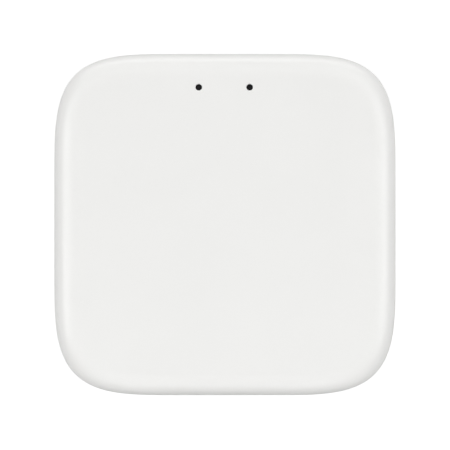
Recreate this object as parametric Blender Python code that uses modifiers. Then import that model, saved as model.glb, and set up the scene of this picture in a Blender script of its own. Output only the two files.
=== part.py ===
"""Smart home hub: a 60 mm rounded-square radio gateway, built as an assembly of named pieces.

Metres, +Z up. The origin is on the surface the hub stands on, under the middle of the housing.
+Y is the rear, where the power socket and the reset button are, and +X is the right-hand side.
Top and bottom covers close round one circuit board. Four screws under the feet hold them together.
"""

from math import atan2, cos, pi, radians, sin, tan

import bmesh
import bpy
from mathutils import Matrix, Vector

MM = 0.001

# Housing
WIDTH = 60 * MM  # across the flats, both ways
HEIGHT = 15 * MM  # feet to top face
CORNER = 22 * MM  # length of side that each corner takes up
CORNER_POWER = 3.8  # 2 would be a round corner; more is squarer, with a softer run into the side
CORNER_STEPS = 14
WALL = 1.8 * MM  # sides, ceiling and floor
TOP_EDGE_REACH = 4.4 * MM
TOP_EDGE_PROFILE = 0.574  # 0.5 would be a circular round; more eases it out of the wall and the top
BOTTOM_EDGE_RADIUS = 2.2 * MM
UNDERSIDE_Z = 0.8 * MM
SEAM_Z = 4.4 * MM  # top of the bottom cover's outer wall
LIP_INSET = 1.1 * MM  # outer face of the bottom cover's lip, in from the outside
LIP_THICKNESS = 0.9 * MM
LIP_TOP_Z = 5.4 * MM
GAP = 0.3 * MM  # between pieces that rest on, or are let into, each other
FIT_GAP = 0.1 * MM  # under a soldered piece, and beside an indicator pin
CEILING_Z = HEIGHT - WALL
FLOOR_Z = UNDERSIDE_Z + WALL
COVER_BOTTOM_Z = SEAM_Z + GAP
EMBED = 0.7 * MM  # how far a boss or rib is let into the wall that it grows from

# Circuit board
BOARD_THICKNESS = 1.2 * MM
BOARD_TOP_Z = 6.4 * MM
BOARD_Z = BOARD_TOP_Z - BOARD_THICKNESS
BOARD_INSET = WALL + 0.6 * MM
PART_Z = BOARD_TOP_Z + FIT_GAP  # underside of everything soldered on the board

# Screws, their columns and bosses, and the feet that hide them
SCREW_PITCH = 39 * MM
SCREW_RADIUS = 1.0 * MM
SCREW_HEAD_RADIUS = 1.9 * MM
SCREW_HEAD_HEIGHT = 1.2 * MM
SCREW_LENGTH = 7.5 * MM  # under the head
SLOT_LENGTH = 2.2 * MM  # of the cross recess in the head
SLOT_WIDTH = 0.44 * MM
SLOT_DEPTH = 0.7 * MM
COLUMN_RADIUS = 3.2 * MM
COUNTERBORE_RADIUS = 2.3 * MM
COUNTERBORE_TOP_Z = 3.2 * MM
CLEARANCE_RADIUS = 1.3 * MM
BOSS_RADIUS = 2.6 * MM
PILOT_RADIUS = SCREW_RADIUS + 0.15 * MM
PILOT_TOP_Z = 11.4 * MM
BOARD_HOLE_RADIUS = 1.5 * MM
GUSSET_THICKNESS = 0.8 * MM
GUSSET_REACH = 8.5 * MM  # from the screw's axis into the corner of the wall
GUSSET_BOTTOM_Z = 9 * MM
FOOT_RADIUS = 4.5 * MM
FOOT_THICKNESS = 1.3 * MM
FOOT_RECESS_TOP_Z = FOOT_THICKNESS + GAP
SCREW_HEAD_Z = COUNTERBORE_TOP_Z - GAP - SCREW_HEAD_HEIGHT

# Label
LABEL_WIDTH = 30 * MM
LABEL_DEPTH = 20 * MM
LABEL_CORNER = 2 * MM
LABEL_THICKNESS = 0.15 * MM
LABEL_Z = UNDERSIDE_Z + 0.05 * MM

# Indicators
INDICATOR_PITCH = 8.9 * MM
INDICATOR_MID_X = -0.13 * MM
INDICATOR_Y = 24 * MM
INDICATOR_HOLE_RADIUS = 0.57 * MM
PIN_TOP_Z = HEIGHT - 0.15 * MM
LED_Y = 22.6 * MM  # the lamps stand behind the socket, and the light guide carries the light rearwards
GUIDE_THICKNESS = 1.0 * MM
GUIDE_TOP_Z = CEILING_Z - GAP
GUIDE_WIDTH = 12.4 * MM
GUIDE_FRONT_Y = 21.3 * MM
GUIDE_REAR_Y = 25.2 * MM
GUIDE_POST_RADIUS = 0.9 * MM
GUIDE_POST_BOTTOM_Z = 7.7 * MM
STAKE_RADIUS = 0.6 * MM
STAKE_HEAD_RADIUS = 1.15 * MM
STAKE_SPACING = 3.6 * MM
STAKE_Y = 23.2 * MM

# Power socket (micro-USB type B)
SOCKET_WIDTH = 7.5 * MM
SOCKET_BASE_WIDTH = 5.4 * MM
SOCKET_HEIGHT = 2.6 * MM
SOCKET_SHEET = 0.3 * MM
SOCKET_MOUTH_Y = 29.3 * MM
SOCKET_DEPTH = 5.0 * MM
SOCKET_BACK_Y = SOCKET_MOUTH_Y - SOCKET_DEPTH
SOCKET_Z = PART_Z + SOCKET_HEIGHT / 2
CONTACT_COUNT = 5
CONTACT_PITCH = 0.65 * MM
CONTACT_WIDTH = 0.35 * MM

# Reset button and the switch behind it
BUTTON_X = 12 * MM
BUTTON_Z = 8.2 * MM
BUTTON_RADIUS = 1.8 * MM
BUTTON_FACE_Y = WIDTH / 2 - 0.2 * MM
BUTTON_HOLE_RADIUS = BUTTON_RADIUS + GAP
BUTTON_NOTCH_HALF_WIDTH = 1.5 * MM  # a notch in the board's rear edge clears the cap
BUTTON_NOTCH_Y = 26.4 * MM
SWITCH_WIDTH = 6.0 * MM
SWITCH_HEIGHT = 3.4 * MM
SWITCH_BACK_Y = 22.4 * MM
SWITCH_FRONT_Y = 25.3 * MM
SWITCH_PLATE = 0.3 * MM
PLUNGER_WIDTH = 2.6 * MM
PLUNGER_HEIGHT = 1.4 * MM
PLUNGER_TIP_Y = 26.5 * MM

RIGHT, REAR, UP = Vector((1, 0, 0)), Vector((0, 1, 0)), Vector((0, 0, 1))


# ---------------------------------------------------------------- tools


def clear_scene():
    for thing in list(bpy.data.objects):
        bpy.data.objects.remove(thing)


def new_collection(name):
    collection = bpy.data.collections.new(name)
    bpy.context.scene.collection.children.link(collection)
    return collection


def material(name, colour, roughness, metallic=0.0):
    made = bpy.data.materials.new(name)
    made.use_nodes = True
    shader = made.node_tree.nodes["Principled BSDF"]
    shader.inputs["Base Color"].default_value = (*colour, 1.0)
    shader.inputs["Roughness"].default_value = roughness
    shader.inputs["Metallic"].default_value = metallic
    made.diffuse_color = (*colour, 1.0)
    return made


def mesh_of(name, shape):
    """A mesh datablock from a bmesh, with its round faces smooth."""
    mesh = bpy.data.meshes.new(name)
    shape.to_mesh(mesh)
    shape.free()
    mesh.shade_smooth()
    mesh.set_sharp_from_angle(angle=radians(30))
    return mesh


def piece(name, shape, finish, at=(0, 0, 0)):
    """A visible sub-part of the hub. shape is a bmesh, or a mesh that several pieces share."""
    mesh = shape if isinstance(shape, bpy.types.Mesh) else mesh_of(name, shape)
    made = bpy.data.objects.new(name, mesh)
    if not mesh.materials:
        mesh.materials.append(finish)
    made.location = at
    made.parent = hub
    hub_pieces.objects.link(made)
    return made


def tool(name, shape):
    """A helper that only cuts or joins another object."""
    made = bpy.data.objects.new(name, mesh_of(name, shape))
    made.hide_render = True
    made.display_type = "WIRE"
    cutters.objects.link(made)
    return made


def boolean(target, other, operation):
    step = target.modifiers.new(f"{operation.lower()} {other.name}", "BOOLEAN")
    step.operation = operation
    step.object = other
    step.solver = "EXACT"


def bevel(target, width, segments):
    """Rounds every sharp edge."""
    step = target.modifiers.new("rounded edges", "BEVEL")
    step.width = width
    step.segments = segments
    step.limit_method = "ANGLE"
    step.angle_limit = radians(30)
    return step


def bevel_where(target, width, segments, chosen, profile=0.5):
    """Rounds only the edges between the points that chosen picks; profile 0.5 is a circular round."""
    group = target.vertex_groups.new(name="rounded")
    group.add([point.index for point in target.data.vertices if chosen(point.co)], 1.0, "REPLACE")
    step = bevel(target, width, segments)
    step.limit_method = "VGROUP"
    step.vertex_group = group.name
    step.profile = profile


def solidify(target, thickness, offset=-1):
    """Thickens a surface; offset -1 keeps it as the outside and grows inwards."""
    step = target.modifiers.new("sheet", "SOLIDIFY")
    step.thickness = thickness
    step.offset = offset
    step.use_even_offset = True


def turn_profile(target, steps):
    """Turns a profile, drawn at +X from its top down, about its own Z axis."""
    step = target.modifiers.new("turned", "SCREW")
    step.steps = steps
    step.render_steps = steps
    step.use_merge_vertices = True
    step.merge_threshold = 0.00001
    step.use_smooth_shade = True


def profile(points):
    """An open line through points given as (radius, height)."""
    shape = bmesh.new()
    line = [shape.verts.new((radius, 0, height)) for radius, height in points]
    for first, second in zip(line, line[1:]):
        shape.edges.new((first, second))
    return shape


def add_box(shape, low, high):
    low, high = Vector(low), Vector(high)
    size = high - low
    matrix = Matrix.Translation((low + high) / 2) @ Matrix.Diagonal((*size, 1))
    return bmesh.ops.create_cube(shape, size=1, matrix=matrix)["verts"]


def add_cylinder(shape, radius, start, end, segments=24):
    start, end = Vector(start), Vector(end)
    along = end - start
    turn = UP.rotation_difference(along).to_matrix().to_4x4()
    bmesh.ops.create_cone(
        shape,
        cap_ends=True,
        segments=segments,
        radius1=radius,
        radius2=radius,
        depth=along.length,
        matrix=Matrix.Translation((start + end) / 2) @ turn,
    )


def add_slab(shape, outline, thickness, place):
    """Adds a flat outline, drawn out along +Z by thickness and then moved to its place."""
    curve = bpy.data.curves.new("outline", "CURVE")
    curve.dimensions = "2D"
    curve.fill_mode = "BOTH"
    curve.extrude = thickness / 2 / MM  # the curve is drawn in millimetres
    spline = curve.splines.new("POLY")
    spline.points.add(len(outline) - 1)
    spline.use_cyclic_u = True
    for point, (x, y) in zip(spline.points, outline):
        point.co = (x / MM, y / MM, 0, 1)
    drawn = bpy.data.objects.new("outline", curve)
    hub_pieces.objects.link(drawn)
    evaluated = drawn.evaluated_get(bpy.context.evaluated_depsgraph_get())
    mesh = bpy.data.meshes.new_from_object(evaluated)
    bpy.data.objects.remove(drawn)

    solid = bmesh.new()
    solid.from_mesh(mesh)
    bmesh.ops.remove_doubles(solid, verts=solid.verts, dist=0.001)
    flat = [edge for edge in solid.edges if edge.calc_face_angle(0) < radians(0.05)]
    bmesh.ops.dissolve_edges(solid, edges=flat)
    bmesh.ops.recalc_face_normals(solid, faces=solid.faces)
    lift = Matrix.Translation((0, 0, thickness / 2))
    bmesh.ops.transform(solid, matrix=place @ lift @ Matrix.Scale(MM, 4), verts=solid.verts)
    solid.to_mesh(mesh)
    solid.free()
    shape.from_mesh(mesh)


def box(low, high):
    shape = bmesh.new()
    add_box(shape, low, high)
    return shape


def slab(outline, thickness, place):
    shape = bmesh.new()
    add_slab(shape, outline, thickness, place)
    return shape


def leave_open(shape, direction):
    """Takes away the faces of a solid that look in one direction."""
    ends = [face for face in shape.faces if face.normal.dot(direction) > 0.9]
    bmesh.ops.delete(shape, geom=ends, context="FACES_ONLY")
    return shape


def level(z):
    return Matrix.Translation((0, 0, z))


def facing_rear(y):
    """For an outline of X and Z: drawn out forwards from y."""
    return Matrix.Translation((0, y, 0)) @ Matrix.Rotation(pi / 2, 4, "X")


def facing_right(x):
    """For an outline of Y and Z: drawn out to the right from x."""
    return Matrix(((0, 0, 1, x), (1, 0, 0, 0), (0, 1, 0, 0), (0, 0, 0, 1)))


def soft_square(inset):
    """The housing's outline, drawn in evenly by inset: straight sides, and corners that ease into them."""
    centre = Vector((1, 1)) * (WIDTH / 2 - CORNER)
    points = []
    for quarter in range(4):
        turn = Matrix.Rotation(quarter * pi / 2, 2)
        for step in range(CORNER_STEPS + 1):
            angle = pi / 2 * step / CORNER_STEPS
            across = max(0.0, cos(angle)) ** (2 / CORNER_POWER)
            along = sin(angle) ** (2 / CORNER_POWER)
            outwards = Vector((across ** (CORNER_POWER - 1), along ** (CORNER_POWER - 1))).normalized()
            points.append(turn @ (centre + CORNER * Vector((across, along)) - inset * outwards))
    return points


def rounded_rectangle(width, depth, radius, steps=4):
    points = []
    for quarter, (sx, sy) in enumerate(((1, 1), (-1, 1), (-1, -1), (1, -1))):
        for step in range(steps + 1):
            angle = pi / 2 * (quarter + step / steps)
            x = sx * (width / 2 - radius) + radius * cos(angle)
            y = sy * (depth / 2 - radius) + radius * sin(angle)
            points.append(Vector((x, y)))
    return points


def corners(pitch):
    """(name, x, y) of the four places under the housing's corners."""
    for row, sy in (("front", -1), ("rear", 1)):
        for side, sx in (("left", -1), ("right", 1)):
            yield f"{row}_{side}", sx * pitch / 2, sy * pitch / 2


def indicator_places():
    for side, sx in (("left", -1), ("right", 1)):
        yield side, INDICATOR_MID_X + sx * INDICATOR_PITCH / 2


def stake_places():
    for sx in (-1, 1):
        yield INDICATOR_MID_X + sx * STAKE_SPACING / 2


# ---------------------------------------------------------------- housing


def socket_section(margin):
    """The socket's outline (X, Z): flat top, upright sides and a narrower base, let out evenly by a margin."""
    lean = atan2(SOCKET_WIDTH - SOCKET_BASE_WIDTH, SOCKET_HEIGHT)
    half_top = SOCKET_WIDTH / 2 + margin
    half_base = SOCKET_BASE_WIDTH / 2 + margin * tan(pi / 4 - lean / 2)
    shoulder = SOCKET_Z - margin * tan(lean / 2)
    top = SOCKET_Z + SOCKET_HEIGHT / 2 + margin
    bottom = SOCKET_Z - SOCKET_HEIGHT / 2 - margin
    return [
        (-half_base, bottom),
        (half_base, bottom),
        (half_top, shoulder),
        (half_top, top),
        (-half_top, top),
        (-half_top, shoulder),
    ]


def cut_top_cover(cover):
    rabbet = slab(soft_square(LIP_INSET - GAP), LIP_TOP_Z + 2 * GAP - SEAM_Z, level(SEAM_Z - GAP))
    holes = bmesh.new()
    for _, x, y in corners(SCREW_PITCH):
        add_cylinder(holes, PILOT_RADIUS, (x, y, SEAM_Z), (x, y, PILOT_TOP_Z), 16)
    for _, x in indicator_places():
        low, high = (x, INDICATOR_Y, CEILING_Z - WALL), (x, INDICATOR_Y, HEIGHT + WALL)
        add_cylinder(holes, INDICATOR_HOLE_RADIUS, low, high, 20)
    inside, outside = WIDTH / 2 - 2 * WALL, WIDTH / 2 + WALL
    low, high = (BUTTON_X, inside, BUTTON_Z), (BUTTON_X, outside, BUTTON_Z)
    add_cylinder(holes, BUTTON_HOLE_RADIUS, low, high, 28)
    add_slab(holes, socket_section(GAP), outside - inside, facing_rear(outside))
    boolean(cover, tool("top_rabbet", rabbet), "DIFFERENCE")
    boolean(cover, tool("top_holes", holes), "DIFFERENCE")


def add_bosses(cover):
    """Screw bosses under the ceiling, each with a gusset towards its corner."""
    bosses, gussets = bmesh.new(), bmesh.new()
    for _, x, y in corners(SCREW_PITCH):
        add_cylinder(bosses, BOSS_RADIUS, (x, y, BOARD_TOP_Z + GAP), (x, y, CEILING_Z + EMBED))
        low = (BOSS_RADIUS - EMBED, -GUSSET_THICKNESS / 2, GUSSET_BOTTOM_Z)
        high = (GUSSET_REACH, GUSSET_THICKNESS / 2, CEILING_Z + EMBED / 2)
        made = add_box(gussets, low, high)
        turn = RIGHT.rotation_difference(Vector((x, y, 0))).to_matrix().to_4x4()
        bmesh.ops.transform(gussets, matrix=Matrix.Translation((x, y, 0)) @ turn, verts=made)
    boolean(cover, tool("bosses", bosses), "UNION")
    boolean(cover, tool("gussets", gussets), "UNION")


def add_stakes(cover):
    """Two moulded pins that go through the light guide, with heads melted over it."""
    stakes, heads = bmesh.new(), bmesh.new()
    bottom_z = GUIDE_TOP_Z - GUIDE_THICKNESS - 2 * GAP
    for x in stake_places():
        add_cylinder(stakes, STAKE_RADIUS, (x, STAKE_Y, bottom_z), (x, STAKE_Y, CEILING_Z + EMBED), 14)
        head_low, head_high = (x, STAKE_Y, bottom_z - GAP), (x, STAKE_Y, bottom_z + GAP)
        add_cylinder(heads, STAKE_HEAD_RADIUS, head_low, head_high, 14)
    boolean(cover, tool("stakes", stakes), "UNION")
    boolean(cover, tool("stake_heads", heads), "UNION")


def make_top_cover():
    body = slab(soft_square(0), HEIGHT - COVER_BOTTOM_Z, level(COVER_BOTTOM_Z))
    cover = piece("top_cover", leave_open(body, -UP), white_plastic)
    bevel_where(cover, TOP_EDGE_REACH, 8, lambda point: point.z > HEIGHT / 2, TOP_EDGE_PROFILE)
    solidify(cover, WALL)
    add_bosses(cover)
    add_stakes(cover)
    cut_top_cover(cover)


def make_bottom_cover():
    body = slab(soft_square(0), SEAM_Z - UNDERSIDE_Z, level(UNDERSIDE_Z))
    cover = piece("bottom_cover", leave_open(body, UP), white_plastic)
    bevel_where(cover, BOTTOM_EDGE_RADIUS, 5, lambda point: point.z < FLOOR_Z)
    solidify(cover, WALL)

    low_z = FLOOR_Z - LIP_THICKNESS
    ring = leave_open(slab(soft_square(LIP_INSET), LIP_TOP_Z - low_z, level(low_z)), UP)
    lip = tool("lip", leave_open(ring, -UP))
    solidify(lip, LIP_THICKNESS)
    columns, bores, recesses, counterbores = (bmesh.new() for _ in range(4))
    for _, x, y in corners(SCREW_PITCH):
        add_cylinder(columns, COLUMN_RADIUS, (x, y, FLOOR_Z - EMBED), (x, y, BOARD_Z - GAP), 28)
        add_cylinder(recesses, FOOT_RADIUS + GAP, (x, y, 0), (x, y, FOOT_RECESS_TOP_Z), 32)
        add_cylinder(counterbores, COUNTERBORE_RADIUS, (x, y, UNDERSIDE_Z), (x, y, COUNTERBORE_TOP_Z))
        add_cylinder(bores, CLEARANCE_RADIUS, (x, y, FLOOR_Z), (x, y, HEIGHT / 2), 16)
    label_recess = rounded_rectangle(LABEL_WIDTH + 2 * GAP, LABEL_DEPTH + 2 * GAP, LABEL_CORNER + GAP)
    add_slab(recesses, label_recess, LABEL_Z + LABEL_THICKNESS + GAP, level(0))
    boolean(cover, lip, "UNION")
    boolean(cover, tool("columns", columns), "UNION")
    boolean(cover, tool("recesses", recesses), "DIFFERENCE")
    boolean(cover, tool("counterbores", counterbores), "DIFFERENCE")
    boolean(cover, tool("screw_bores", bores), "DIFFERENCE")


def make_label():
    outline = rounded_rectangle(LABEL_WIDTH, LABEL_DEPTH, LABEL_CORNER)
    piece("blank_label", slab(outline, LABEL_THICKNESS, level(LABEL_Z)), label_film)


def make_feet():
    shape = bmesh.new()
    add_cylinder(shape, FOOT_RADIUS, (0, 0, 0), (0, 0, FOOT_THICKNESS), 32)
    mesh = mesh_of("foot", shape)
    for place, x, y in corners(SCREW_PITCH):
        bevel(piece(f"foot_{place}", mesh, grey_rubber, at=(x, y, 0)), 0.3 * MM, 2)


def make_housing_screws():
    """Pan-head screws that go up through the bottom cover and the board into the top cover."""
    tip_z = SCREW_HEAD_HEIGHT + SCREW_LENGTH
    outline = [
        (0, tip_z),
        (SCREW_RADIUS * 0.5, tip_z),
        (SCREW_RADIUS, tip_z - SCREW_RADIUS),
        (SCREW_RADIUS, SCREW_HEAD_HEIGHT),
        (SCREW_HEAD_RADIUS, SCREW_HEAD_HEIGHT),
        (SCREW_HEAD_RADIUS, SCREW_HEAD_HEIGHT * 0.4),
        (SCREW_HEAD_RADIUS * 0.75, 0),
        (0, 0),
    ]
    mesh = mesh_of("screw", profile(outline))
    slots = []
    for name, reach_x, reach_y in (("x", SLOT_LENGTH, SLOT_WIDTH), ("y", SLOT_WIDTH, SLOT_LENGTH)):
        shape = bmesh.new()
        for _, x, y in corners(SCREW_PITCH):
            low = (x - reach_x / 2, y - reach_y / 2, SCREW_HEAD_Z - SLOT_DEPTH)
            high = (x + reach_x / 2, y + reach_y / 2, SCREW_HEAD_Z + SLOT_DEPTH)
            add_box(shape, low, high)
        slots.append(tool(f"screw_slots_{name}", shape))
    for place, x, y in corners(SCREW_PITCH):
        screw = piece(f"housing_screw_{place}", mesh, zinc, at=(x, y, SCREW_HEAD_Z))
        turn_profile(screw, 20)
        for slot in slots:
            boolean(screw, slot, "DIFFERENCE")


# ---------------------------------------------------------------- board and what is soldered on it


def make_main_board():
    outline = soft_square(BOARD_INSET)
    board = piece("main_board", slab(outline, BOARD_THICKNESS, level(BOARD_Z)), green_laminate)
    holes = bmesh.new()
    for _, x, y in corners(SCREW_PITCH):
        add_cylinder(holes, BOARD_HOLE_RADIUS, (x, y, BOARD_Z - GAP), (x, y, BOARD_TOP_Z + GAP), 20)
    boolean(board, tool("board_holes", holes), "DIFFERENCE")
    notch = box(
        (BUTTON_X - BUTTON_NOTCH_HALF_WIDTH, BUTTON_NOTCH_Y, BOARD_Z - GAP),
        (BUTTON_X + BUTTON_NOTCH_HALF_WIDTH, WIDTH / 2, BOARD_TOP_Z + GAP),
    )
    boolean(board, tool("button_notch", notch), "DIFFERENCE")


def make_radio_module(name, centre, size, shield_size, shield_y):
    """A small radio board soldered flat on the main board, with a shield can over its chips."""
    thickness, can_height = 0.8 * MM, 1.8 * MM
    x, y = centre
    width, depth = size
    base = box((-width / 2, -depth / 2, 0), (width / 2, depth / 2, thickness))
    piece(f"{name}_board", base, blue_laminate, at=(x, y, PART_Z))
    half_x, half_y = shield_size[0] / 2, shield_size[1] / 2
    cover = leave_open(box((-half_x, -half_y, 0), (half_x, half_y, can_height)), -UP)
    can = piece(f"{name}_shield", cover, tinned_steel, at=(x, shield_y, PART_Z + thickness + FIT_GAP))
    bevel(can, 0.35 * MM, 2)
    solidify(can, 0.25 * MM)


def gull_lead(foot, drop, reach):
    """Side view (Y outwards, Z up) of a flat lead that leaves a body, turns down and ends in a foot."""
    sheet = 0.2 * MM
    return [
        (0, drop),
        (reach - foot, drop),
        (reach - foot + sheet, sheet),
        (reach, sheet),
        (reach, 0),
        (reach - foot - sheet / 2, 0),
        (reach - foot - sheet, drop - sheet),
        (0, drop - sheet),
    ]


def make_voltage_regulator():
    """Three leads on one side and a broad tab on the other."""
    body = box((-3.25 * MM, -1.75 * MM, 0.05 * MM), (3.25 * MM, 1.75 * MM, 1.65 * MM))
    regulator = piece("voltage_regulator", body, black_epoxy, at=(-9 * MM, 14 * MM, PART_Z))
    leads = bmesh.new()
    side = gull_lead(0.9 * MM, 0.8 * MM, 1.75 * MM)
    for sy, x, width in ((1, -2.3, 0.7), (1, 0, 0.7), (1, 2.3, 0.7), (-1, 0, 3.0)):
        outline = [(sy * (1.4 * MM + y), z) for y, z in side]
        add_slab(leads, outline, width * MM, facing_right((x - width / 2) * MM))
    helper = tool("regulator_leads", leads)
    helper.location = regulator.location
    boolean(regulator, helper, "UNION")


def make_block(name, size, at, finish, rounding):
    """A small block-shaped component soldered flat on the board. All in millimetres."""
    width, depth, height = size
    shape = box((-width / 2 * MM, -depth / 2 * MM, 0), (width / 2 * MM, depth / 2 * MM, height * MM))
    block = piece(name, shape, finish, at=(at[0] * MM, at[1] * MM, PART_Z))
    bevel(block, rounding * MM, 2)


def make_storage_capacitor():
    x, y = -11 * MM, 23.4 * MM
    base_height, can_height, radius = 1.0 * MM, 4.3 * MM, 2.5 * MM
    half, nose = 2.65 * MM, 0.9 * MM
    outline = [
        (-half, -half),
        (half - nose, -half),
        (half, -half + nose),
        (half, half - nose),
        (half - nose, half),
        (-half, half),
    ]
    piece("capacitor_base", slab(outline, base_height, level(0)), black_epoxy, at=(x, y, PART_Z))
    shape = bmesh.new()
    add_cylinder(shape, radius, (0, 0, 0), (0, 0, can_height), 28)
    can = piece("capacitor_can", shape, aluminium, at=(x, y, PART_Z + base_height + FIT_GAP))
    bevel(can, 0.35 * MM, 2)


def make_status_leds():
    shape = bmesh.new()
    add_box(shape, (-0.8 * MM, -0.4 * MM, 0), (0.8 * MM, 0.4 * MM, 0.25 * MM))
    base_mesh = mesh_of("led_base", shape)
    for side, x in indicator_places():
        at = Vector((x, LED_Y, PART_Z))
        led = piece(f"status_led_{side}", base_mesh, led_body, at=at)
        lens_shape = box((-0.55 * MM, -0.35 * MM, 0.1 * MM), (0.55 * MM, 0.35 * MM, 0.6 * MM))
        lens = tool(f"led_lens_{side}", lens_shape)
        lens.location = at
        boolean(led, lens, "UNION")


def make_led_shroud():
    """A black block that keeps each lamp's light to its own post, arched over the socket's leads."""
    height = 3.9 * MM
    low = (INDICATOR_MID_X - 6.3 * MM, LED_Y - 1.4 * MM, PART_Z)
    high = (INDICATOR_MID_X + 6.3 * MM, LED_Y + 1.4 * MM, PART_Z + height)
    shroud = piece("led_shroud", box(low, high), black_rubber)
    bores = bmesh.new()
    for _, x in indicator_places():
        add_cylinder(bores, 1.2 * MM, (x, LED_Y, BOARD_TOP_Z - GAP), (x, LED_Y, HEIGHT), 20)
    arch = box(
        (INDICATOR_MID_X - 2.6 * MM, LED_Y - 2 * MM, BOARD_TOP_Z - GAP),
        (INDICATOR_MID_X + 2.6 * MM, LED_Y + 2 * MM, PART_Z + 2.2 * MM),
    )
    bevel(shroud, 0.3 * MM, 2)
    boolean(shroud, tool("shroud_bores", bores), "DIFFERENCE")
    boolean(shroud, tool("shroud_arch", arch), "DIFFERENCE")


def make_light_guide():
    """One smoked moulding: a plate under the ceiling, a post over each lamp and a pin in each hole."""
    middle_y = (GUIDE_FRONT_Y + GUIDE_REAR_Y) / 2
    low_z = GUIDE_TOP_Z - GUIDE_THICKNESS
    outline = rounded_rectangle(GUIDE_WIDTH, GUIDE_REAR_Y - GUIDE_FRONT_Y, 1.0 * MM)
    place = Matrix.Translation((INDICATOR_MID_X, middle_y, low_z))
    guide = piece("light_guide", slab(outline, GUIDE_THICKNESS, place), smoked_plastic)
    posts, pins, stake_holes = bmesh.new(), bmesh.new(), bmesh.new()
    for _, x in indicator_places():
        overlap_z = low_z + GUIDE_THICKNESS / 2
        add_cylinder(posts, GUIDE_POST_RADIUS, (x, LED_Y, GUIDE_POST_BOTTOM_Z), (x, LED_Y, overlap_z), 20)
        pin_radius = INDICATOR_HOLE_RADIUS - FIT_GAP
        add_cylinder(pins, pin_radius, (x, INDICATOR_Y, overlap_z), (x, INDICATOR_Y, PIN_TOP_Z), 20)
    for x in stake_places():
        low, high = (x, STAKE_Y, low_z - GAP), (x, STAKE_Y, CEILING_Z)
        add_cylinder(stake_holes, STAKE_RADIUS + GAP, low, high, 16)
    boolean(guide, tool("guide_posts", posts), "UNION")
    boolean(guide, tool("guide_pins", pins), "UNION")
    boolean(guide, tool("guide_stake_holes", stake_holes), "DIFFERENCE")


# ---------------------------------------------------------------- power socket


def make_socket_shell():
    """Folded steel: a tube with a closed back, a slot for the leads and a solder wing on each side."""
    tube = slab(socket_section(0), SOCKET_DEPTH, facing_rear(SOCKET_MOUTH_Y))
    shell = piece("usb_socket_shell", leave_open(tube, REAR), tinned_steel)
    solidify(shell, SOCKET_SHEET)
    wings = bmesh.new()
    for sx in (-1, 1):
        inner, outer = sx * 2.6 * MM, sx * 4.6 * MM
        low = (min(inner, outer), SOCKET_BACK_Y + 1.2 * MM, PART_Z + 0.02 * MM)
        high = (max(inner, outer), SOCKET_BACK_Y + 2.8 * MM, PART_Z + 0.28 * MM)
        add_box(wings, low, high)
    slot_low = (-1.9 * MM, SOCKET_BACK_Y - GAP, PART_Z - GAP)
    slot_high = (1.9 * MM, SOCKET_BACK_Y + 1.3 * MM, PART_Z + 1.0 * MM)
    boolean(shell, tool("socket_wings", wings), "UNION")
    boolean(shell, tool("socket_lead_slot", box(slot_low, slot_high)), "DIFFERENCE")


def make_socket_insulator():
    """A block in the back of the socket, with the tongue that carries the contacts."""
    depth = 1.1 * MM
    back_y = SOCKET_BACK_Y + SOCKET_SHEET + FIT_GAP
    block = slab(socket_section(-SOCKET_SHEET - FIT_GAP), depth, facing_rear(back_y + depth))
    insulator = piece("usb_insulator", block, black_epoxy)
    tongue_low = (-1.85 * MM, back_y + 0.5 * MM, SOCKET_Z)
    tongue_high = (1.85 * MM, SOCKET_MOUTH_Y - 0.5 * MM, SOCKET_Z + 0.6 * MM)
    channel_low = (-1.75 * MM, back_y - GAP, BOARD_TOP_Z)
    channel_high = (1.75 * MM, back_y + 1.5 * MM, SOCKET_Z - 0.05 * MM)
    boolean(insulator, tool("insulator_tongue", box(tongue_low, tongue_high)), "UNION")
    boolean(insulator, tool("insulator_channel", box(channel_low, channel_high)), "DIFFERENCE")


def make_socket_contacts():
    """Flat springs along the underside of the tongue, ending in feet on the board behind the socket."""
    sheet = 0.15 * MM
    top_z = SOCKET_Z - FIT_GAP - 0.05 * MM
    low_z = PART_Z + 0.02 * MM
    tip_y = SOCKET_MOUTH_Y - 0.7 * MM
    bend_y = SOCKET_BACK_Y + 0.75 * MM
    tail_y = SOCKET_BACK_Y - 0.55 * MM
    outline = [
        (tip_y, top_z),
        (bend_y, top_z),
        (bend_y, low_z + sheet),
        (tail_y, low_z + sheet),
        (tail_y, low_z),
        (bend_y + sheet, low_z),
        (bend_y + sheet, top_z - sheet),
        (tip_y, top_z - sheet),
    ]
    mesh = mesh_of("usb_contact", slab(outline, CONTACT_WIDTH, facing_right(-CONTACT_WIDTH / 2)))
    for number in range(CONTACT_COUNT):
        x = (number - (CONTACT_COUNT - 1) / 2) * CONTACT_PITCH
        piece(f"usb_contact_{number + 1}", mesh, gold, at=(x, 0, 0))


# ---------------------------------------------------------------- reset button and switch


def make_reset_button():
    """A round cap in the rear wall. Its wings stop it falling out, and a nib pushes the switch."""
    wing_front_y = WIDTH / 2 - WALL - GAP
    wing_back_y = wing_front_y - 0.8 * MM
    shape = bmesh.new()
    add_cylinder(shape, BUTTON_RADIUS, (0, wing_back_y + GAP, 0), (0, BUTTON_FACE_Y, 0), 28)
    at = (BUTTON_X, 0, BUTTON_Z)
    button = piece("reset_button", shape, grey_plastic, at=at)
    bevel_where(button, 0.3 * MM, 3, lambda point: point.y > wing_front_y)
    half_x, half_z = 3.3 * MM, 1.3 * MM
    wings = tool("button_wings", box((-half_x, wing_back_y, -half_z), (half_x, wing_front_y, half_z)))
    nib_shape = bmesh.new()
    add_cylinder(nib_shape, 0.8 * MM, (0, wing_back_y - 0.3 * MM, 0), (0, wing_back_y + GAP, 0), 16)
    nib = tool("button_nib", nib_shape)
    for helper in (wings, nib):
        helper.location = at
        boolean(button, helper, "UNION")


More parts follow.
